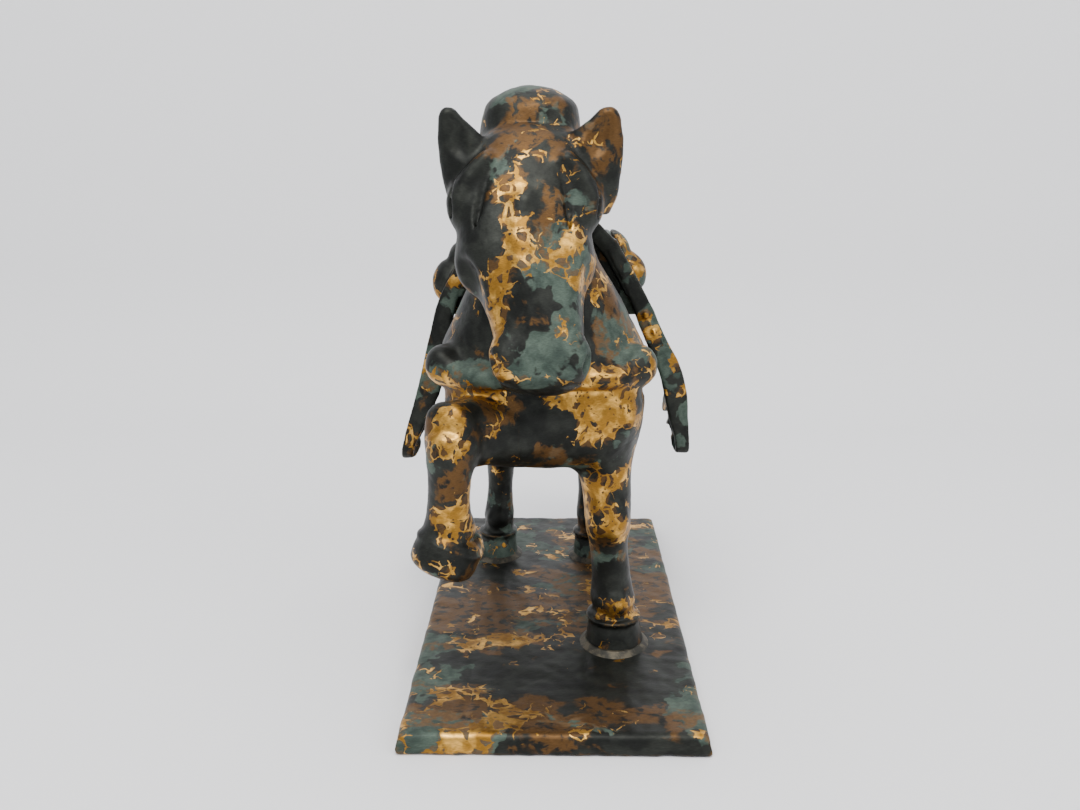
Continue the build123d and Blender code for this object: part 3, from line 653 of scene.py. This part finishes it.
# Mouth, from one corner round the lip to the other: down the face, out to the side, forward, radius
MOUTH = [
    (70, -15.4, -3.0, 0.4),
    (76, -14.0, -1.0, 0.7),
    (80.5, -8.0, 4.5, 0.8),
    (82.5, 0, 7.2, 0.8),
    (80.5, 8.0, 4.5, 0.8),
    (76, 14.0, -1.0, 0.7),
    (70, 15.4, -3.0, 0.4),
]
bar(head, [on_face(*row[:3]) for row in MOUTH], [row[3] for row in MOUTH], 1.0, carve=True, count=41)

# Ears: leaves with a hollow front
EARS_X = -8.6
ear_roots, ear_runs, ear_shapes = {}, {}, {}
for side in (-1, 1):
    root = np.array([EARS_X + side * 15.0, -42.0, 166.0])
    tip = np.array([EARS_X + side * 26.7, -45.2, 197.4])
    broad = 1.0 + 0.08 * side
    length = np.linalg.norm(tip - root)
    run = (tip - root) / length
    ear_roots[side], ear_runs[side] = root, run
    ear_rows = [
        (0, 0, 0, 10.2 * broad, 5.8, 6.4),
        (9, 0.2, 0, 10.6 * broad, 5.6, 6.4),
        (17, 0.1, 0, 9.2 * broad, 4.8, 5.6),
        (25, 0, 0, 6.6 * broad, 3.6, 4.4),
        (31, 0, 0, 3.6 * broad, 2.6, 3.0),
        (length, 0, 0, 2.4, 2.2, 2.4),
    ]
    ear_shapes[side] = limb(root, run, RIGHT, ear_rows, (2.0, 2.4), 1.8)
    head.add(ear_shapes[side], around([root, tip], 14), 2.2)
    scoop = [(16, 8.6), (19, 7.2), (22, 5.9), (26, 4.5), (30, 3.2)]
    scoop = [root + run * t + np.array([-side * 0.4, -f, 0]) for t, f in scoop]
    bar(head, scoop, [1.6, 3.6, 4.0, 2.9, 1.0], 1.2, carve=True)

# Join the head to the neck: hardly at all under the throat, and more softly the higher the join
JOIN_HEIGHTS, JOIN_SOFTNESS = [118, 135, 150, 178, 190], [0.4, 2.0, 5.0, 6.0, 10.0]
cuts, x, y, z = horse.region(HEAD_LO, HEAD_HI)
softness = np.interp(z, JOIN_HEIGHTS, JOIN_SOFTNESS).astype(np.float32)
horse.value[cuts] = soft_min(horse.value[cuts], head.value[cuts], softness)
del head

# Raised foreleg: forearm out from the chest, then the shank hanging from the knee
FOREARM_RUN = np.array([-0.475, -0.88, 0.0])
FOREARM_ROOT = np.array([-24.6, -47.0, 93.0])
FOREARM = [
    (-26, -2.0, 0.0, 15.0, 13.0, 14.0),
    (-14, -1.0, 0.0, 13.5, 12.0, 13.0),
    (-4, -1.0, 0.0, 12.0, 11.4, 12.4),
    (6, -0.6, 0, 10.2, 11.2, 12.0),
    (14, 0, 0.6, 9.0, 11.2, 11.4),
    (20, 0, 1.2, 8.8, 11.4, 11.0),
    (25.5, 0, 1.6, 8.2, 10.4, 10.0),
]
forearm = limb(FOREARM_ROOT, FOREARM_RUN, (-0.88, 0.475, 0), FOREARM, (3.0, 5.0), 2.6)
horse.add(forearm, ((-52, -80, 70), (12, -18, 108)), 3.0)
add_egg(horse, (-16.0, -43.5, 91.0), (17.0, 13.5, 12.6), 24, 3.0)
SHANK = [
    (58.0, -34.9, -62.6, 9.4, 9.6),
    (63.0, -34.9, -62.6, 8.7, 9.0),
    (68.0, -34.9, -63.4, 7.4, 7.7),
    (74.0, -34.6, -64.2, 7.0, 7.4),
    (82.0, -34.1, -65.2, 7.3, 8.0),
    (89.0, -33.6, -65.6, 8.0, 8.6),
    (98.0, -33.4, -64.6, 7.6, 8.0),
]
horse.add(upright(SHANK), ((-50, -80, 52), (-20, -50, 104)), 3.0)
HOOF_RUN = np.array([-0.36, -0.16, -0.92])
HOOF_TOP = np.array([-34.4, -63.0, 57.5])
HOOF = [
    (-4.0, 0, 0, 9.2, 9.4, 9.4),
    (0.0, 0, 0, 10.6, 10.6, 10.6),
    (5.0, 0, 0, 11.4, 11.4, 11.2),
    (10.5, 0, 0, 10.6, 10.6, 10.0),
    (12.5, 0, 0, 9.6, 9.6, 9.0),
]
hoof = limb(HOOF_TOP, HOOF_RUN, (0, 1, 0), HOOF, (3.0, 4.0), 2.1)
horse.add(hoof, ((-54, -82, 36), (-16, -46, 70)), 1.8)
add_egg(horse, (-29.2, -58.6, 53.6), (5.4, 6.0, 6.2), 14, 2.5)
sole = HOOF_TOP + HOOF_RUN * 14.6
horse.carve(egg(sole, (7.4, 7.4, 3.2), [(0.93, 0, -0.36), (0, 1, -0.17), HOOF_RUN]), around([sole], 12), 1.2)
hoof_across = np.cross(HOOF_RUN, (0, 1, 0))
hoof_across /= np.linalg.norm(hoof_across)
hoof_forward = np.cross(hoof_across, HOOF_RUN)
turns = [hoof_across * math.cos(a) + hoof_forward * math.sin(a) for a in circle(25)]
coronet = [HOOF_TOP + HOOF_RUN * 0.8 + 10.9 * turn for turn in turns]
bar(horse, coronet, [CORONET_RADIUS] * 25, 1.2, count=49)

# One skin, cut into castings along the same joints as the frame's nodes. The neck's cut is a little
# higher, clear of the fold round the chest.
NECK_JOINT_AT, NECK_JOINT_FACES = (BODY_X, -56, 113), (0, -0.5, 0.866)
HEAD_JOINT_AT, HEAD_JOINT_FACES = (-8, -31, 195), (0, -0.953, 0.303)
CHEST_TOP, CHEST_RIGHT_X, TAIL_ROOT_Y = 106.3, -12, 66.2
MANE_HALF_WIDTH, MANE_LOW, EAR_JOINT_UP = 4.2, 141, 8.0
points, faces = surface(horse)
del horse
points = relax(points, faces, 2)
points = hand_finish(points, faces)
normals = vertex_normals(points, faces)
points = points.astype(float)
middle = points[faces].mean(axis=1)
cx, cy, cz = middle.T


def beyond(origin, normal):
    return (middle - np.array(origin)) @ np.array(normal) > 0


ear_near = {side: shape(cx, cy, cz) for side, shape in ear_shapes.items()}
above_neck_joint = beyond(NECK_JOINT_AT, NECK_JOINT_FACES)
head_side = beyond(HEAD_JOINT_AT, HEAD_JOINT_FACES) & (cz > CHEST_TOP)
label = np.full(len(faces), "trunk", dtype=object)
label[above_neck_joint] = "neck"
label[head_side & above_neck_joint] = "head"
label[beyond(FOREARM_ROOT, FOREARM_RUN) & (cz < CHEST_TOP) & (cx < CHEST_RIGHT_X)] = "foreleg_right"
label[cy > TAIL_ROOT_Y] = "tail"
label[(cz < LEG_JOINT_Z) & (cy > 0) & (cx > BODY_X)] = "hindleg_left"
label[(cz < LEG_JOINT_Z) & (cy > 0) & (cx < BODY_X)] = "hindleg_right"
label[(cz < LEG_JOINT_Z) & (cy < 0) & (cx > BODY_X)] = "foreleg_left"
mane_gap = np.abs(cx + 8 - MANE_DRIFT * (MANE_TOP - cz) / MANE_FALL)
label[(label == "neck") & (cy > -16.5) & (mane_gap < MANE_HALF_WIDTH) & (cz > MANE_LOW)] = "mane"
for side, name in ((1, "ear_left"), (-1, "ear_right")):
    rise = (middle - ear_roots[side]) @ ear_runs[side]
    label[(ear_near[side] < 0.9) & (rise > EAR_JOINT_UP) & (side * (cx - EARS_X) > 12.5)] = name
for name in sorted(set(label)):
    piece("horse_" + name, points, faces, normals, label == name, "body_bronze", [name])


# Saddle ---------------------------------------------------------------------------------------------
def skin(field, rounds=2, depth=0.12):
    """The finished skin of a field with its normals."""
    points, faces = surface(field)
    points = hand_finish(relax(points, faces, rounds), faces, depth)
    return points, faces, vertex_normals(points, faces)


def soft_max(a, b, k):
    return -soft_min(-a, -b, k)


ARCH_LO, ARCH_HI = node_box("pommel_arch")
FLAP_FRONT_Y = node_box("flap_left")[0][1]
FLAP_BACK_Y = node_box("flap_left")[1][1]
# Beads of metal left on the left flap's front edge: x, height and radius
DROPLETS = [(33.6, 125.3, 1.4), (35.5, 122.0, 0.7), (36.9, 118.8, 1.1)]
FLAP_LINES = {
    1: [
        *((71.0, 56.0), (76.0, 55.6), (87.0, 54.8), (97.0, 53.8)),
        *((106.0, 51.0), (116.2, 45.6), (132.2, 37.8), (153.6, 25.8)),
    ],
    -1: [
        *((69.0, 55.4), (76.0, 54.0), (86.0, 51.2), (97.0, 47.9)),
        *((116.8, 43.0), (130.9, 39.0), (143.0, 32.5), (153.6, 25.8)),
    ],
}
# Width of a flap's front edge at each height
FLAP_RIM = [(68, 2.5), (76, 5.2), (86, 7.6), (94, 8.8), (108, 8.8), (126, 7.4), (152, 6.4)]
for side, name in ((1, "flap_left"), (-1, "flap_right")):
    lo, hi = node_box(name)
    flap = Field(lo - 4, hi + 4, FINE_STEP)
    x, y, z = flap.axes[0][:, None, None], flap.axes[1][None, :, None], flap.axes[2][None, None, :]
    heights, outs = smooth_table(*np.array(FLAP_LINES[side]).T)
    out = side * (x - BODY_X)
    line = np.interp(z, heights, outs)
    slant = np.interp(z, heights, np.gradient(outs, heights))
    back = np.clip((y - FLAP_FRONT_Y) / (FLAP_BACK_Y - FLAP_FRONT_Y), 0, 1)
    behind = y - FLAP_FRONT_Y
    hem = 71.5 - 2.5 * (side < 0) + 9.0 * back + 1.2 * np.cos(2 * math.pi * behind / 13.0 + 0.9)
    low = np.clip((108 - z) / 36, 0, 1) ** 1.5
    wave = 0.8 * low * (np.sin(2 * math.pi * behind / 17.0 + 1.2) - 1)
    rim = np.clip(1 - behind / 4.5, 0, 1)
    curl = np.exp(-(((z - hem) / 3.2) ** 2))
    rim_width = np.interp(z, *np.array(FLAP_RIM).T)
    thick = 3.4 + (rim_width - 3.4) * np.clip(rim * 3, 0, 1) + 1.6 * curl
    gap = (np.abs(out - line + thick / 2 - wave * (1 - rim)) - thick / 2) / np.sqrt(1 + slant**2)
    edge = soft_max(soft_max(FLAP_FRONT_Y + 0.2 - y, y - FLAP_BACK_Y + 0.3, 1.0), hem - z, 5.0)
    edge = soft_max(edge, z - 153.0, 1.0)
    flap.value = soft_max(gap, edge, 0.9).astype(np.float32)
    groove = np.abs(out - line + 1.7)
    flap.value = soft_max(flap.value, -(np.maximum(groove, np.abs(y - FLAP_FRONT_Y)) - 0.55), 0.5)
    if side > 0:
        for bead_x, bead_z, radius in DROPLETS:
            add_egg(flap, (bead_x, FLAP_FRONT_Y, bead_z), (radius, radius, radius * 1.15), 4, 0.3)
    points, faces, normals = skin(flap)
    piece("cast_" + name, points, faces, normals, slice(None), "saddle_bronze", [name])

arch = Field(ARCH_LO - 4, ARCH_HI + 4, FINE_STEP)
# Pommel arch: distance out and height along its outer edge
ARCH_LINE = [(0.0, 166.6), (14.0, 163.2), (25.4, 153.0), (31.5, 143.6), (37.4, 132.6), (39.5, 127.6)]
ARCH_HALF_BAND = 3.4
x, y, z = arch.axes[0][:, None, None], arch.axes[1][None, :, None], arch.axes[2][None, None, :]
path = bend([(-x, 0, z) for x, z in ARCH_LINE[:0:-1]] + [(x, 0, z) for x, z in ARCH_LINE], 60)
middle_line = path.copy()
tangent = np.gradient(path, axis=0)
tangent /= np.linalg.norm(tangent, axis=1, keepdims=True)
middle_line[:, 0] += tangent[:, 2] * ARCH_HALF_BAND + BODY_X
middle_line[:, 2] -= tangent[:, 0] * ARCH_HALF_BAND
flat = strand(middle_line, [0.0] * len(middle_line))(x, 0 * y, z)
face = np.abs(y - (ARCH_LO[1] + ARCH_HI[1]) / 2) - (ARCH_HI[1] - ARCH_LO[1]) / 2 + 0.2
band = soft_max(flat - 3.3, face, 0.9)
band = soft_max(band, -(np.maximum(np.abs(flat - 1.9), np.abs(y - ARCH_LO[1])) - 0.5), 0.5)
arch.value = soft_max(band, 131.5 - z + 0 * x, 0.8).astype(np.float32)
points, faces, normals = skin(arch)
piece("cast_pommel_arch", points, faces, normals, slice(None), "saddle_bronze", ["pommel_arch"])

SADDLE_LO, SADDLE_HI = node_box("saddle")
seat = Field(SADDLE_LO - 3, SADDLE_HI + 3, STEP)
x, y, z = seat.axes[0][:, None, None], seat.axes[1][None, :, None], seat.axes[2][None, None, :]
# Saddle: y, height of the seat and half-width
SEAT = [
    (-3.0, 160.5, 20.5),
    (6.0, 155.2, 21.5),
    (15.0, 152.2, 22.5),
    (27.0, 154.2, 22.5),
    (36.0, 161.5, 22.0),
    (43.5, 164.5, 21.0),
]
length, height, width = np.array(SEAT).T
top = np.interp(y, *smooth_table(length, height))
half = np.interp(y, *smooth_table(length, width))
out = np.abs(x - BODY_X)
heights, outs = smooth_table(*np.array(FLAP_LINES[1]).T)
limit = np.minimum(np.interp(z, heights, outs) - 4.6, half + 0.55 * (top - z))
roof = z - top + 5.0 * (out / half) ** 3
body = soft_max(roof, (out - limit) * 0.86, 3.0)
ends = soft_max(SADDLE_LO[1] + 0.3 - y, y - SADDLE_HI[1] + 0.3, 0.5)
under = trunk_shape(x, y, z)
body = soft_max(soft_max(body, ends, 1.5), SADDLE_LO[2] - z + 0.3, 1.0)
body = soft_max(body, 0.1 - under, 0.4)
tunnel = np.sqrt((x - BODY_X) ** 2 + (z - 131.0) ** 2) - 19.5
body = soft_max(body, -np.maximum(tunnel, y - 8.0), 0.8)
seam = np.abs(out - 13.0 - 0.08 * (y - 15) ** 2 / 10)
body = soft_max(body, -(np.maximum(seam, np.abs(roof)) - 0.5), 0.5)
seat.value = body.astype(np.float32)
points, faces, normals = skin(seat)
piece("cast_saddle", points, faces, normals, slice(None), "saddle_bronze", ["saddle"])

ROLL_LO, ROLL_HI = node_box("saddle_rolls")
for side, out_at, height in ((1, 30.4, 139.0), (-1, 34.6, 136.0)):
    middle_x = BODY_X + side * out_at
    lumpy_lo = (middle_x - 16, ROLL_LO[1] - 3, height - 16)
    lumpy_hi = (middle_x + 16, ROLL_HI[1] + 3, height + 16)
    lumpy = Field(lumpy_lo, lumpy_hi, STEP * 0.8)
    box = (lumpy.lo, lumpy.lo + 50)
    for i, at in enumerate(np.linspace(ROLL_LO[1] + 7.5, ROLL_HI[1] - 7.5, 3)):
        tilt = math.radians(18 * (i - 1))
        ways = [(1, 0, 0), (0, math.cos(tilt), math.sin(tilt)), (0, -math.sin(tilt), math.cos(tilt))]
        lumpy.add(egg((middle_x - side * 0.8, at, height - 0.4 * i), (8.8, 7.2, 9.4), ways), box, 1.2)
        lumpy.add(egg((middle_x - side * 5.2, at + 1.5, height + 8.4), (7.2, 6.2, 7.6), ways), box, 1.2)
    x, y, z = lumpy.axes[0][:, None, None], lumpy.axes[1][None, :, None], lumpy.axes[2][None, None, :]
    heights, outs = smooth_table(*np.array(FLAP_LINES[side]).T)
    inside = (np.interp(z, heights, outs) - side * (x - BODY_X) - 0.4) * 0.86
    lumpy.value = soft_max(lumpy.value, (inside + 0 * y).astype(np.float32), 0.8)
    points, faces, normals = skin(lumpy)
    name = "cast_roll_left" if side > 0 else "cast_roll_right"
    piece(name, points, faces, normals, slice(None), "saddle_bronze", ["saddle_rolls"])

# Plate ------------------------------------------------------------------------------------------------
PLATE_LEAN = 12.0
plate = Field(PLATE_LO - 2, PLATE_HI + 2, 1.0)
x, y, z = plate.axes[0][:, None, None], plate.axes[1][None, :, None], plate.axes[2][None, None, :]
lean = math.tan(math.radians(PLATE_LEAN))
side_gap = np.maximum(np.abs(x) - PLATE_HI[0], np.abs(y) - PLATE_HI[1]) + lean * z
plate.value = soft_max(side_gap, np.abs(z - PLATE_TOP / 2) - PLATE_TOP / 2, 1.6).astype(np.float32)
points, faces, normals = skin(plate, 1, 0.22)
points[:, 2] = np.maximum(points[:, 2], 0.0)
normals = vertex_normals(points, faces)
piece("cast_plate", points, faces, normals, slice(None), "plate_bronze", ["base_plate"])


# Materials --------------------------------------------------------------------------------------------
class Graph:
    """A material's nodes, made by short calls. Places are in millimetres."""

    def __init__(self, name):
        self.material = bpy.data.materials.new(name)
        self.material.use_nodes = True
        self.tree = self.material.node_tree
        self.shader = self.tree.nodes["Principled BSDF"]
        self.place = self.vector("SCALE", self.node("ShaderNodeTexCoord").outputs["Object"], scale=1 / MM)

    def put(self, socket, value):
        if isinstance(value, bpy.types.NodeSocket):
            self.tree.links.new(value, socket)
        else:
            socket.default_value = value

    def node(self, kind, **settings):
        made = self.tree.nodes.new(kind)
        for key, value in settings.items():
            setattr(made, key, value)
        return made

    def vector(self, operation, a, b=None, scale=None):
        made = self.node("ShaderNodeVectorMath", operation=operation)
        self.put(made.inputs[0], a)
        if b is not None:
            self.put(made.inputs[1], b)
        if scale is not None:
            made.inputs["Scale"].default_value = scale
        return made.outputs[0]

    def math(self, operation, a, b=0.0, clamp=False):
        made = self.node("ShaderNodeMath", operation=operation, use_clamp=clamp)
        self.put(made.inputs[0], a)
        self.put(made.inputs[1], b)
        return made.outputs[0]

    def step(self, value, low, high):
        """0 below low, 1 above high, smooth between. High may be less than low."""
        made = self.node("ShaderNodeMapRange", interpolation_type="SMOOTHSTEP")
        self.put(made.inputs["Value"], value)
        if high < low:
            made.inputs["From Min"].default_value, made.inputs["From Max"].default_value = high, low
            made.inputs["To Min"].default_value, made.inputs["To Max"].default_value = 1.0, 0.0
        else:
            made.inputs["From Min"].default_value, made.inputs["From Max"].default_value = low, high
        return made.outputs["Result"]

    def noise(self, place, size, detail=3.0, rough=0.55, colour=False):
        """Noise with features of a size in millimetres."""
        made = self.node("ShaderNodeTexNoise")
        self.put(made.inputs["Vector"], place)
        made.inputs["Scale"].default_value = 1.0 / size
        made.inputs["Detail"].default_value = detail
        made.inputs["Roughness"].default_value = rough
        return made.outputs["Color" if colour else "Fac"]

    def cells(self, place, size, feature="F1"):
        made = self.node("ShaderNodeTexVoronoi", feature=feature)
        self.put(made.inputs["Vector"], place)
        made.inputs["Scale"].default_value = 1.0 / size
        return made.outputs["Distance"]

    def mix(self, share, under, over):
        made = self.node("ShaderNodeMix", data_type="RGBA")
        self.put(made.inputs["Factor"], share)
        self.put(made.inputs[6], under)
        self.put(made.inputs[7], over)
        return made.outputs[2]

    def blend(self, share, under, over):
        made = self.node("ShaderNodeMix", data_type="FLOAT")
        self.put(made.inputs["Factor"], share)
        self.put(made.inputs[2], under)
        self.put(made.inputs[3], over)
        return made.outputs[0]

    def warped(self, place, size, reach):
        """Places pushed about by noise."""
        push = self.vector("SUBTRACT", self.noise(place, size, 2.0, colour=True), (0.5, 0.5, 0.5))
        return self.vector("ADD", place, self.vector("SCALE", push, scale=reach))


BLACK_BRONZE = (0.0120, 0.0130, 0.0115, 1)
GREY_BRONZE = (0.024, 0.026, 0.022, 1)
DARK_GREEN = (0.027, 0.042, 0.033, 1)
VERDIGRIS = (0.062, 0.088, 0.068, 1)
STAIN = (0.110, 0.054, 0.016, 1)
OCHRE = (0.270, 0.135, 0.022, 1)
WORN_GOLD = (0.680, 0.385, 0.085, 1)


def patina(name, gold=0.0, green=0.0, rust=0.0, streaks=(1.0, 1.0, 1.0)):
    """Patinated bronze. Blotches of black and green lie over stain and ochre, which lie over worn gold."""
    g = Graph(name)
    marks = g.node("ShaderNodeAttribute", attribute_name="patina")
    split = g.node("ShaderNodeSeparateColor")
    g.put(split.inputs[0], marks.outputs["Color"])
    near_gold, near_green, near_dark = split.outputs
    near_rust = marks.outputs["Alpha"]
    place = g.vector("MULTIPLY", g.place, streaks)
    loose = g.warped(place, 9.0, 7.0)
    torn = g.warped(loose, 1.6, 0.8)

    def field(size, offset, near, amount):
        """How far a layer is above showing: noise, raised near its patches."""
        made = g.noise(g.vector("ADD", torn, (offset, offset * 0.7, -offset)), size, 4.0, 0.56)
        made = g.math("ADD", made, g.math("MULTIPLY", near, 0.24))
        made = g.math("SUBTRACT", made, g.math("MULTIPLY", near_dark, 0.16))
        return g.math("ADD", made, amount)

    brushed = g.noise(g.vector("MULTIPLY", place, (1.0, 1.0, 6.0)), 1.1, 2.0)
    ground = g.mix(g.step(g.noise(loose, 7.0), 0.35, 0.65), BLACK_BRONZE, GREY_BRONZE)
    rust_field = field(15.0, 37.0, near_rust, rust)
    gold_field = field(14.0, -21.0, near_gold, gold)
    green_zone = g.step(field(17.0, 88.0, near_green, green), 0.590, 0.622)

    # Gold is whole where it is strongest and thins to a net, with dark patina left in its cells
    big = g.cells(torn, 3.9, "DISTANCE_TO_EDGE")
    small = g.cells(g.vector("ADD", torn, (5.0, 3.0, 1.0)), 2.1)
    reach = g.math("MULTIPLY", g.math("SUBTRACT", gold_field, 0.555), 2.0)
    net = g.step(g.math("SUBTRACT", reach, big), 0.0, 0.035)
    gold_share = g.math("MULTIPLY", net, g.step(small, 0.14, 0.26), clamp=True)
    under_gold = g.math("MULTIPLY", g.step(gold_field, 0.57, 0.62), 0.8)
    stained = g.math("MAXIMUM", g.step(rust_field, 0.60, 0.66), under_gold)
    stain_share = g.math("MULTIPLY", stained, g.step(g.noise(torn, 3.0, 3.0), 0.36, 0.5))
    glint = g.step(g.noise(loose, 5.0, 3.0), 0.42, 0.68)
    gold_colour = g.mix(glint, OCHRE, WORN_GOLD)
    green_colour = g.mix(g.step(g.noise(torn, 4.0), 0.3, 0.7), DARK_GREEN, VERDIGRIS)

    colour = g.mix(green_zone, ground, green_colour)
    colour = g.mix(g.math("MULTIPLY", stain_share, 0.85), colour, STAIN)
    colour = g.mix(gold_share, colour, gold_colour)
    shape = g.node("ShaderNodeNewGeometry").outputs["Pointiness"]
    # Painted edge highlight: convex edges are turned lighter ochre here, and more metallic further down.
    edge = g.math("MULTIPLY", g.step(shape, 0.535, 0.60), g.step(g.noise(torn, 4.0), 0.42, 0.6))
    colour = g.mix(g.math("MULTIPLY", edge, 0.8), colour, OCHRE)
    crease = g.step(shape, 0.485, 0.42)
    colour = g.mix(g.math("MULTIPLY", crease, 0.75), colour, BLACK_BRONZE)
    shade = g.blend(g.step(brushed, 0.3, 0.7), 0.82, 1.18)
    tone = g.node("ShaderNodeHueSaturation")
    g.put(tone.inputs["Color"], colour)
    g.put(tone.inputs["Value"], shade)
    g.put(g.shader.inputs["Base Color"], tone.outputs[0])

    metal = g.blend(gold_share, g.blend(green_zone, 0.7, 0.3), 0.95)
    g.put(g.shader.inputs["Metallic"], g.blend(g.math("MULTIPLY", edge, 0.8), metal, 0.8))
    rough = g.blend(gold_share, g.blend(green_zone, 0.46, 0.56), g.blend(glint, 0.46, 0.33))
    rough = g.math("ADD", rough, g.math("MULTIPLY", g.math("SUBTRACT", brushed, 0.5), 0.18), clamp=True)
    g.put(g.shader.inputs["Roughness"], rough)
    g.shader.inputs["Specular IOR Level"].default_value = 0.3

    relief = g.math("MULTIPLY", g.noise(place, 0.9, 3.0), 0.35)
    relief = g.math("ADD", relief, g.math("MULTIPLY", g.noise(place, 4.0, 2.0), 0.9))
    relief = g.math("SUBTRACT", relief, g.math("MULTIPLY", gold_share, 0.30))
    relief = g.math("ADD", relief, g.math("MULTIPLY", g.step(g.cells(place, 2.6), 0.0, 0.12), 0.10))
    bump = g.node("ShaderNodeBump")
    bump.inputs["Strength"].default_value = 0.5
    bump.inputs["Distance"].default_value = 0.22 * MM
    g.put(bump.inputs["Height"], relief)
    g.put(g.shader.inputs["Normal"], bump.outputs[0])
    return g.material


def plain_metal(name, low, high, rough):
    """Unpatinated metal with fine turning marks, for the rods and the braze."""
    g = Graph(name)
    fine = g.noise(g.vector("MULTIPLY", g.place, (1.0, 1.0, 5.0)), 0.8, 3.0)
    blotch = g.step(g.noise(g.warped(g.place, 3.0, 3.0), 3.5, 3.0), 0.4, 0.62)
    g.put(g.shader.inputs["Base Color"], g.mix(blotch, low, high))
    g.put(g.shader.inputs["Roughness"], g.blend(fine, rough - 0.08, rough + 0.12))
    g.shader.inputs["Metallic"].default_value = 0.75
    bump = g.node("ShaderNodeBump")
    bump.inputs["Strength"].default_value = 0.5
    bump.inputs["Distance"].default_value = 0.15 * MM
    g.put(bump.inputs["Height"], g.math("ADD", fine, g.noise(g.place, 2.2, 3.0)))
    g.put(g.shader.inputs["Normal"], bump.outputs[0])
    return g.material


MATERIALS = {
    "body_bronze": patina("bronze_body"),
    "saddle_bronze": patina("bronze_saddle", gold=-0.03, green=0.01),
    "plate_bronze": patina("bronze_plate", gold=0.01, rust=0.03, streaks=(0.75, 0.9, 1.0)),
    "braze": plain_metal("bronze_braze", (0.035, 0.034, 0.028, 1), (0.095, 0.082, 0.058, 1), 0.55),
    "rod_bronze": plain_metal("bronze_rod", (0.30, 0.19, 0.07, 1), (0.46, 0.30, 0.12, 1), 0.38),
}
slots = {entry["node"]: entry["material_slot"] for entry in frame["record"]["subparts"]}
for name, node in frame["nodes"].items():
    node.data.materials.clear()
    node.data.materials.append(MATERIALS[slots[name]])
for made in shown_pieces():
    if made.get("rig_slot"):
        made.data.materials.clear()
        made.data.materials.append(MATERIALS[made["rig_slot"]])


# Studio -----------------------------------------------------------------------------------------------
def flat_material(name, colour, rough):
    material = bpy.data.materials.new(name)
    material.use_nodes = True
    shader = material.node_tree.nodes["Principled BSDF"]
    shader.inputs["Base Color"].default_value = colour
    shader.inputs["Roughness"].default_value = rough
    return material


# A table that curves up into a wall behind it: y and z in metres
COVE_HALF_WIDTH = 7.0
COVE_FRONT, COVE_BACK, COVE_RADIUS, COVE_HEIGHT = -2.0, 0.30, 0.10, 2.5
cove = [(COVE_FRONT, 0.0), (COVE_BACK, 0.0)]
for a in np.linspace(0.0, math.pi / 2, 13):
    cove.append((COVE_BACK + COVE_RADIUS * math.sin(a), COVE_RADIUS - COVE_RADIUS * math.cos(a)))
cove.append((COVE_BACK + COVE_RADIUS, COVE_HEIGHT))
cove_points = [(x, y, z) for y, z in cove for x in (-COVE_HALF_WIDTH, COVE_HALF_WIDTH)]
cove_faces = [(2 * i, 2 * i + 1, 2 * i + 3, 2 * i + 2) for i in range(len(cove) - 1)]
mesh = bpy.data.meshes.new("studio_cove")
mesh.from_pydata(cove_points, [], cove_faces)
mesh.shade_smooth()
floor = bpy.data.objects.new("studio_cove", mesh)
bpy.context.scene.collection.objects.link(floor)
mesh.materials.append(flat_material("pale_card", (0.84, 0.84, 0.85, 1), 0.85))


def lamp(name, place, aim, size, watts, colour=(1, 1, 1)):
    """A soft square lamp."""
    data = bpy.data.lights.new(name, "AREA")
    data.size, data.energy, data.color = size, watts, colour
    made = bpy.data.objects.new(name, data)
    made.location = place
    made.rotation_mode = "QUATERNION"
    made.rotation_quaternion = (Vector(aim) - Vector(place)).to_track_quat("-Z", "Y")
    bpy.context.scene.collection.objects.link(made)


lamp("key", (-0.35, -0.75, 1.05), (0.0, 0.0, 0.12), 0.6, 9.0)
lamp("fill", (0.9, -0.6, 0.7), (0.0, 0.0, 0.12), 0.8, 5.0)
lamp("top", (0.0, 0.1, 1.4), (0.0, 0.0, 0.1), 1.2, 9.0)
lamp("glint", (0.05, -0.45, 0.85), (0.0, -0.05, 0.15), 0.18, 3.0, (1.0, 0.96, 0.9))
world = bpy.data.worlds.new("studio")
world.use_nodes = True
world.node_tree.nodes["Background"].inputs["Color"].default_value = (0.93, 0.95, 1.0, 1)
world.node_tree.nodes["Background"].inputs["Strength"].default_value = 0.80
bpy.context.scene.world = world

# The camera stands in front of the plate, a little above the horse's eyes, and looks down at its chest
CAMERA_DISTANCE, CAMERA_HEIGHT = 0.37533, 0.182
CAMERA_PITCH, CAMERA_YAW = math.radians(13.93), math.radians(0.86)
CAMERA_LENS, CAMERA_SENSOR = 33.33, 36.0
lens = bpy.data.cameras.new("camera")
lens.lens, lens.sensor_width = CAMERA_LENS, CAMERA_SENSOR
camera = bpy.data.objects.new("camera", lens)
camera.location = (0.0, -CAMERA_DISTANCE, CAMERA_HEIGHT)
camera.rotation_euler = (math.pi / 2 - CAMERA_PITCH, 0.0, CAMERA_YAW)
bpy.context.scene.collection.objects.link(camera)
bpy.context.scene.camera = camera
